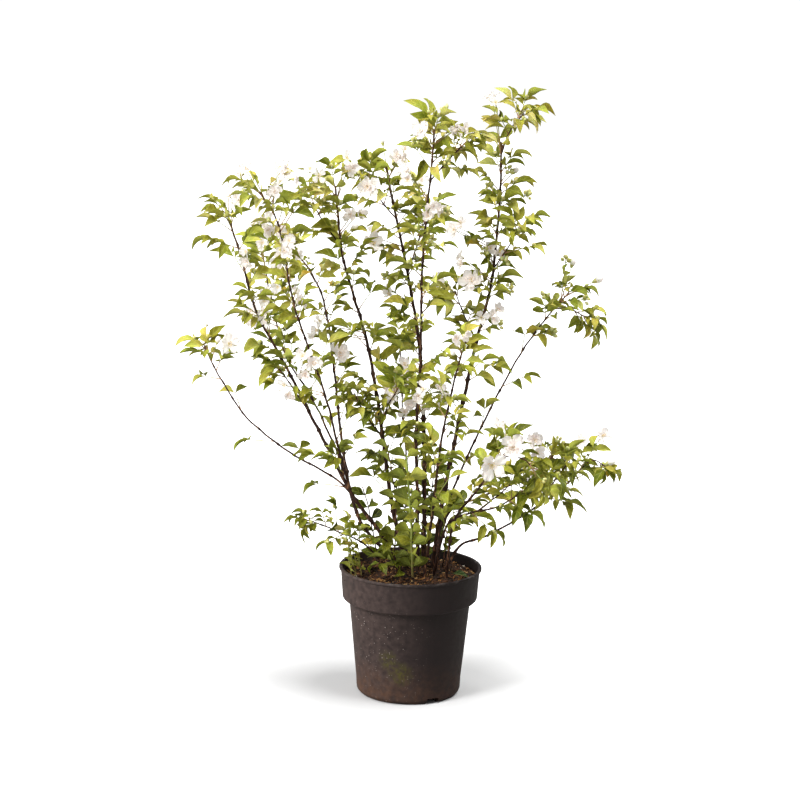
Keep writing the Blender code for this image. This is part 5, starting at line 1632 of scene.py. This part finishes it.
def calyx_mesh(draw):
    """Four pointed sepals round a small cup of radius 1 at its rim, opening along X."""
    bm = bmesh.new()
    rows = ((-2.0, 0.25, 0.25), (-1.3, 0.75, 0.75), (-0.35, 1.0, 1.0), (0.25, 1.5, 1.05))
    rings = []
    for x, out, notch in rows:
        ring = []
        for i in range(16):
            angle = 2 * math.pi * i / 16
            lobe = 0.5 + 0.5 * math.cos(4 * angle)
            reach = notch + (out - notch) * lobe
            rise = x + (0.5 * lobe if x > 0 else 0)
            ring.append(bm.verts.new((rise, reach * math.cos(angle), reach * math.sin(angle))))
        rings.append(ring)
    inner = [bm.verts.new((0.1, 0.7 * math.cos(2 * math.pi * i / 16), 0.7 * math.sin(2 * math.pi * i / 16)))
             for i in range(16)]
    rings.append(inner)
    for ring, after in zip(rings, rings[1:]):
        for i in range(16):
            j = (i + 1) % 16
            bm.faces.new((ring[i], ring[j], after[j], after[i]))
    bm.faces.new(rings[0])
    bm.faces.new(inner)
    bmesh.ops.recalc_face_normals(bm, faces=bm.faces)
    for face in bm.faces:
        face.smooth = True
    mesh = bpy.data.meshes.new("calyx")
    bm.to_mesh(mesh)
    bm.free()
    return mesh


# Sepal green, yellower than the leaves, with faint lengthwise lines.
sepal, tree, shader, where = new_material("sepal_green", 0.45)
tone = add(tree, "ShaderNodeAttribute", attribute_name="tone").outputs["Fac"]
color = mixed(tree, tone, "#b3b352", "#dcdc92")
color = mixed(tree, ranged(tree, grain(tree, where, 1.6, 3), 0.45, 0.7, 0, 0.6), color, "#f0ecc4")
tree.links.new(color, shader.inputs["Base Color"])
shader.inputs["Subsurface Weight"].default_value = 0.2
shader.inputs["Subsurface Scale"].default_value = 1.0 * MM
bumped(tree, shader, grain(tree, where, 0.6, 3), 0.1)
# Petals: white with the faintest blush, thin, finely veined, letting light through.
petal, tree, shader, where = new_material("white_petal", 0.55)
veins = grain(tree, where, 1.0, 4)
color = mixed(tree, ranged(tree, veins, 0.3, 0.7), "#f8efe9", "#fffbf8")
color = mixed(tree, ranged(tree, grain(tree, where, 10, 2), 0.5, 0.7, 0, 0.5), color, "#f4dfd8")
tree.links.new(color, shader.inputs["Base Color"])
shader.inputs["Subsurface Weight"].default_value = 0.6
shader.inputs["Subsurface Radius"].default_value = (1.0, 0.92, 0.9)
shader.inputs["Subsurface Scale"].default_value = 6 * MM
# A little glow stands for the light that so thin a petal passes on to its shaded side.
shader.inputs["Emission Color"].default_value = linear("#fff4ea")
shader.inputs["Emission Strength"].default_value = 0.1
bumped(tree, shader, veins, 0.2)

bead_draw = random.Random(31)
bead_shapes = masters("bead_masters", [bead(bead_draw, 0.35, 4, 0.08) for _ in range(3)])
ball_shapes = masters("ball_masters", [bead(bead_draw, 0.12, 4, 0.2) for _ in range(3)])
calyx_shapes = masters("calyx_masters", [calyx_mesh(bead_draw)])
for name in shrub.stems:
    copies, stalks = [], []
    for owner, root, middle, radius in shrub.buds:
        if owner == name:
            way = (middle - root).normalized()
            size = radius * bead_draw.uniform(0.75, 1.0)
            copies.append((middle, turn_to(way, frame_on(way, UP)[1]), (size,) * 3, bead_draw.randrange(3),
                           bead_draw.random()))
            stalks.append([(root, 0.45 * MM, 0.7), (middle, 0.5 * MM, 1.0)])
    if copies:
        seated(placed(f"{name}_buds", bead_shapes, sepal, copies), "foliage")
        seated(swept(f"{name}_bud_stalks", stalks, SHOOT_SIDES, young), "foliage")
balls, cups = [], []
for _, middle, way, radius in shrub.closed:
    turn = turn_to(way, frame_on(way, UP)[1])
    balls.append((middle, turn, (radius,) * 3, bead_draw.randrange(3), 0.5))
    cups.append((middle - way * radius * 0.55, turn, (radius * 0.6,) * 3, 0, 0.5))
for _, middle, look, *_ in shrub.flowers:
    seat = middle - look * (PETAL_THICKNESS + GAP)
    cups.append((seat, turn_to(look, frame_on(look, UP)[1]), (CALYX_RADIUS,) * 3, 0, 0.4))
seated(placed("closed_flowers", ball_shapes, petal, balls), "petals")
seated(placed("calyxes", calyx_shapes, sepal, cups), "foliage")


# Open flowers
# Each flower is 18 to 54 mm across: four or five broad, notched and ruffled petals, a second ring of
# smaller ones in the half-double flowers, and a brush of some 20 stamens with yellow anthers.

PETAL_ROWS, PETAL_COLUMNS = 5, 8
PETAL_SKIN = 0.014
STAMENS = 22


def petal_mesh(draw):
    """A petal along X from 0.08 to 1, as broad as long, rising from claw to rim."""
    notch = draw.uniform(0.0, 0.14)
    ruffle, phase = draw.uniform(0.06, 0.12), draw.uniform(0, 6)
    curl = draw.uniform(-0.5, 0.5)
    rows = []
    for k in range(PETAL_ROWS + 1):
        t = k / PETAL_ROWS
        half = 0.08 + 0.40 * math.sin(math.pi * min(1, 0.06 + t * 0.72)) ** 0.8 * t ** 0.6
        row = []
        for j in range(PETAL_COLUMNS + 1):
            across = 2 * j / PETAL_COLUMNS - 1
            rim = 1 - 0.30 * abs(across) ** 2.4 - notch * math.exp(-((across / 0.22) ** 2))
            reach = 0.08 + 0.94 * t * (1 - t * t * (1 - rim))
            wave = ruffle * t * t * math.sin(7 * across + phase)
            wave += 0.02 * math.sin(15 * across + phase) * t ** 3
            lift = t ** 1.6 + curl * 0.3 * t * t * across + 0.35 * across ** 2 * t * (1 - t)
            row.append(Vector((reach, across * half, 0)) + Vector((0, 0, lift * 0.2 + wave)))
        rows.append(row)
    skins = []
    for k, row in enumerate(rows):
        inner = [0 < j < PETAL_COLUMNS and 0 < k < PETAL_ROWS for j in range(PETAL_COLUMNS + 1)]
        depths = [UP * PETAL_SKIN * (1 if deep else 0.3) for deep in inner]
        skins.append([(point + depth, point - depth) for point, depth in zip(row, depths)])
    return thin_skin("petal", skins)


def stamen_meshes(draw):
    """A bent thread of length 1 along X, and the anther at its end, as two closed meshes."""
    lean = draw.uniform(-0.12, 0.12)
    found = []
    thread = [(0.0, 0.030), (0.5, 0.026), (1.0, 0.022)]
    anther = [(0.94, 0.03), (1.06, 0.11), (1.19, 0.03)]
    for stations, sides in ((thread, 3), (anther, 4)):
        bm = bmesh.new()
        turns = [2 * math.pi * i / sides for i in range(sides)]
        rings = [[bm.verts.new(Vector((x, lean * x * x + r * math.cos(a), r * math.sin(a)))) for a in turns]
                 for x, r in stations]
        for ring, after in zip(rings, rings[1:]):
            for i in range(sides):
                j = (i + 1) % sides
                bm.faces.new((ring[i], ring[j], after[j], after[i]))
        bm.faces.new(rings[0])
        bm.faces.new(rings[-1])
        bmesh.ops.recalc_face_normals(bm, faces=bm.faces)
        for face in bm.faces:
            face.smooth = True
        mesh = bpy.data.meshes.new("stamen")
        bm.to_mesh(mesh)
        bm.free()
        found.append(mesh)
    return found


# Yellow pollen on the anthers, cream threads.
pollen, tree, shader, where = new_material("pollen_yellow", 0.8)
tree.links.new(mixed(tree, grain(tree, where, 0.8, 2), "#d8b25a", "#ecd389"), shader.inputs["Base Color"])
bumped(tree, shader, grain(tree, where, 0.3, 2), 0.1)
cream, tree, shader, where = new_material("stamen_thread", 0.6)
tree.links.new(mixed(tree, grain(tree, where, 2, 2), "#e8dcae", "#f1ead0"), shader.inputs["Base Color"])

flower_draw = random.Random(57)
petal_shapes = masters("petal_masters", [petal_mesh(flower_draw) for _ in range(6)])
stamens = [stamen_meshes(flower_draw) for _ in range(4)]
thread_shapes = masters("thread_masters", [pair[0] for pair in stamens])
anther_shapes = masters("anther_masters", [pair[1] for pair in stamens])

# A ring of petals, a smaller ring inside it when double, and a dome of stamens, looking along X.
head, given, end = new_tree("flower_head", (
    ("Petals", "NodeSocketInt", 4), ("Inner", "NodeSocketInt", 0), ("Heart", "NodeSocketInt", 0),
    ("Radius", "NodeSocketFloat", 0.012), ("Cup", "NodeSocketFloat", 0.2),
    ("Turn", "NodeSocketFloat", 0.0), ("Seed", "NodeSocketInt", 0),
    ("Petal Shapes", "NodeSocketCollection", None), ("Threads", "NodeSocketCollection", None),
    ("Anthers", "NodeSocketCollection", None), ("Petal", "NodeSocketMaterial", None),
    ("Thread", "NodeSocketMaterial", None), ("Pollen", "NodeSocketMaterial", None)))


def ring_of_copies(count, shapes, turn, lift_low, lift_high, small, large, seed, material, stray=0.12):
    """Copies round X, each first tipped up by a random lift, then turned to its place in the ring."""
    points = add(head, "GeometryNodePoints", {"Count": count}).outputs[0]
    index = add(head, "GeometryNodeInputIndex").outputs[0]
    share = add(head, "ShaderNodeMath", {0: index, 1: count}, operation="DIVIDE").outputs[0]
    around = add(head, "ShaderNodeMath", {0: share, 1: 2 * math.pi, 2: turn},
                 operation="MULTIPLY_ADD").outputs[0]
    off = add(head, "FunctionNodeRandomValue", {2: -stray, 3: stray, "Seed": seed},
              data_type="FLOAT").outputs[1]
    around = add(head, "ShaderNodeMath", {0: around, 1: off}, operation="ADD").outputs[0]
    lift = add(head, "FunctionNodeRandomValue", {2: lift_low, 3: lift_high, "Seed": seed},
               data_type="FLOAT").outputs[1]
    size = add(head, "FunctionNodeRandomValue", {2: small, 3: large, "Seed": seed},
               data_type="FLOAT").outputs[1]
    tip = add(head, "FunctionNodeAxisAngleToRotation", {"Axis": (0, 1, 0), "Angle": lift}).outputs[0]
    spin = add(head, "FunctionNodeAxisAngleToRotation", {"Axis": (0, 0, 1), "Angle": around}).outputs[0]
    turned_to = add(head, "FunctionNodeRotateRotation", {"Rotation": spin, "Rotate By": tip},
                    rotation_space="LOCAL").outputs[0]
    kind = add(head, "FunctionNodeRandomValue", {4: 0, 5: 5, "Seed": seed}, data_type="INT").outputs[2]
    found = add(head, "GeometryNodeCollectionInfo",
                {"Collection": shapes, "Separate Children": True, "Reset Children": True}).outputs[0]
    copies = add(head, "GeometryNodeInstanceOnPoints",
                 {"Points": points, "Instance": found, "Pick Instance": True, "Instance Index": kind,
                  "Rotation": turned_to, "Scale": size})
    real = add(head, "GeometryNodeRealizeInstances", {"Geometry": copies.outputs[0]})
    return add(head, "GeometryNodeSetMaterial",
               {"Geometry": real.outputs[0], "Material": material}).outputs[0]


tilt = add(head, "ShaderNodeMath", {0: given["Cup"], 1: -1.0}, operation="MULTIPLY").outputs[0]
steeper = add(head, "ShaderNodeMath", {0: tilt, 1: -0.7}, operation="ADD").outputs[0]
upright = add(head, "ShaderNodeMath", {0: tilt, 1: -1.1}, operation="ADD").outputs[0]
flatter = add(head, "ShaderNodeMath", {0: tilt, 1: 0.25}, operation="ADD").outputs[0]
inner_turn = add(head, "ShaderNodeMath", {0: given["Turn"], 1: 0.7}, operation="ADD").outputs[0]
rest = [
    ring_of_copies(given["Petals"], given["Petal Shapes"], given["Turn"], steeper, flatter, 0.9, 1.06,
                   given["Seed"], given["Petal"]),
    ring_of_copies(given["Inner"], given["Petal Shapes"], inner_turn, steeper, tilt, 0.5, 0.8,
                   given["Seed"], given["Petal"]),
    ring_of_copies(given["Heart"], given["Petal Shapes"], given["Turn"], upright, steeper, 0.35, 0.55,
                   given["Seed"], given["Petal"], 0.5),
    ring_of_copies(STAMENS, given["Threads"], given["Turn"], -1.4, -0.75, 0.2, 0.32, given["Seed"],
                   given["Thread"]),
    ring_of_copies(STAMENS, given["Anthers"], given["Turn"], -1.4, -0.75, 0.2, 0.32, given["Seed"],
                   given["Pollen"]),
]
joined = add(head, "GeometryNodeJoinGeometry")
for part in rest:
    head.links.new(part, joined.inputs[0])
sized = add(head, "GeometryNodeTransform", {"Geometry": joined.outputs[0]})
head.links.new(given["Radius"], sized.inputs["Scale"])
head.links.new(sized.outputs[0], end.inputs[0])

for number, (name, middle, look, diameter, petals, turn, cup) in enumerate(shrub.flowers, 1):
    carrier = bpy.data.objects.new("carrier", bpy.data.meshes.new("carrier"))
    bpy.context.scene.collection.objects.link(carrier)
    side, normal = frame_on(look, UP)
    inner, heart = flower_draw.choice(((0, 0), (4, 0), (5, 3), (5, 4), (6, 4)))
    flower = made_by(head, f"flower_{number:02d}", carrier, {
        "Petals": petals, "Inner": inner, "Heart": heart, "Radius": 1.24 * diameter / 2,
        "Cup": cup / (diameter / 2) * 0.6, "Turn": turn, "Seed": number,
        "Petal Shapes": petal_shapes, "Threads": thread_shapes, "Anthers": anther_shapes,
        "Petal": petal, "Thread": cream, "Pollen": pollen})
    flower.data.transform(Matrix.Translation(middle) @ Matrix((side, normal, look)).transposed().to_4x4())
    if number <= cad_flowers:
        seated(flower, "petals", f"bloom_{number:02d}")
    else:
        seated(flower, "petals")


# Fallen leaf
# One old leaf, dark green and leathery, lies on the compost in front of the right-hand canes, a little
# raised on the side away from the front.

low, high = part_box("fallen_leaf")
FALLEN_LENGTH, FALLEN_WIDTH = 30 * MM, 17 * MM
FALLEN_TURN, FALLEN_TILT = math.radians(-25), math.radians(14)
OLD_LEAF_COLORS = ((0.0, "#1a2c0f"), (0.5, "#2c4519"), (1.0, "#4a5a26"))
old_leaf, shader = leaf_skin("old_leathery_leaf", OLD_LEAF_COLORS, 0.35)
middle = (Vector(low) + Vector(high)) / 2
along = Vector((math.cos(FALLEN_TURN), math.sin(FALLEN_TURN), 0))
facing_up = (UP - Vector((0, math.tan(FALLEN_TILT), 0))).normalized()
copies = [(middle - along * FALLEN_LENGTH / 2 + UP * 3.5 * MM, turn_to(along, facing_up),
           (FALLEN_LENGTH, FALLEN_WIDTH, FALLEN_LENGTH), 0, 0.4)]
flat_shapes = masters("flat_masters", [leaf_mesh(0.25, shade)])
seated(placed("old_leaf", flat_shapes, old_leaf, copies), "old_leaf", "fallen_leaf")
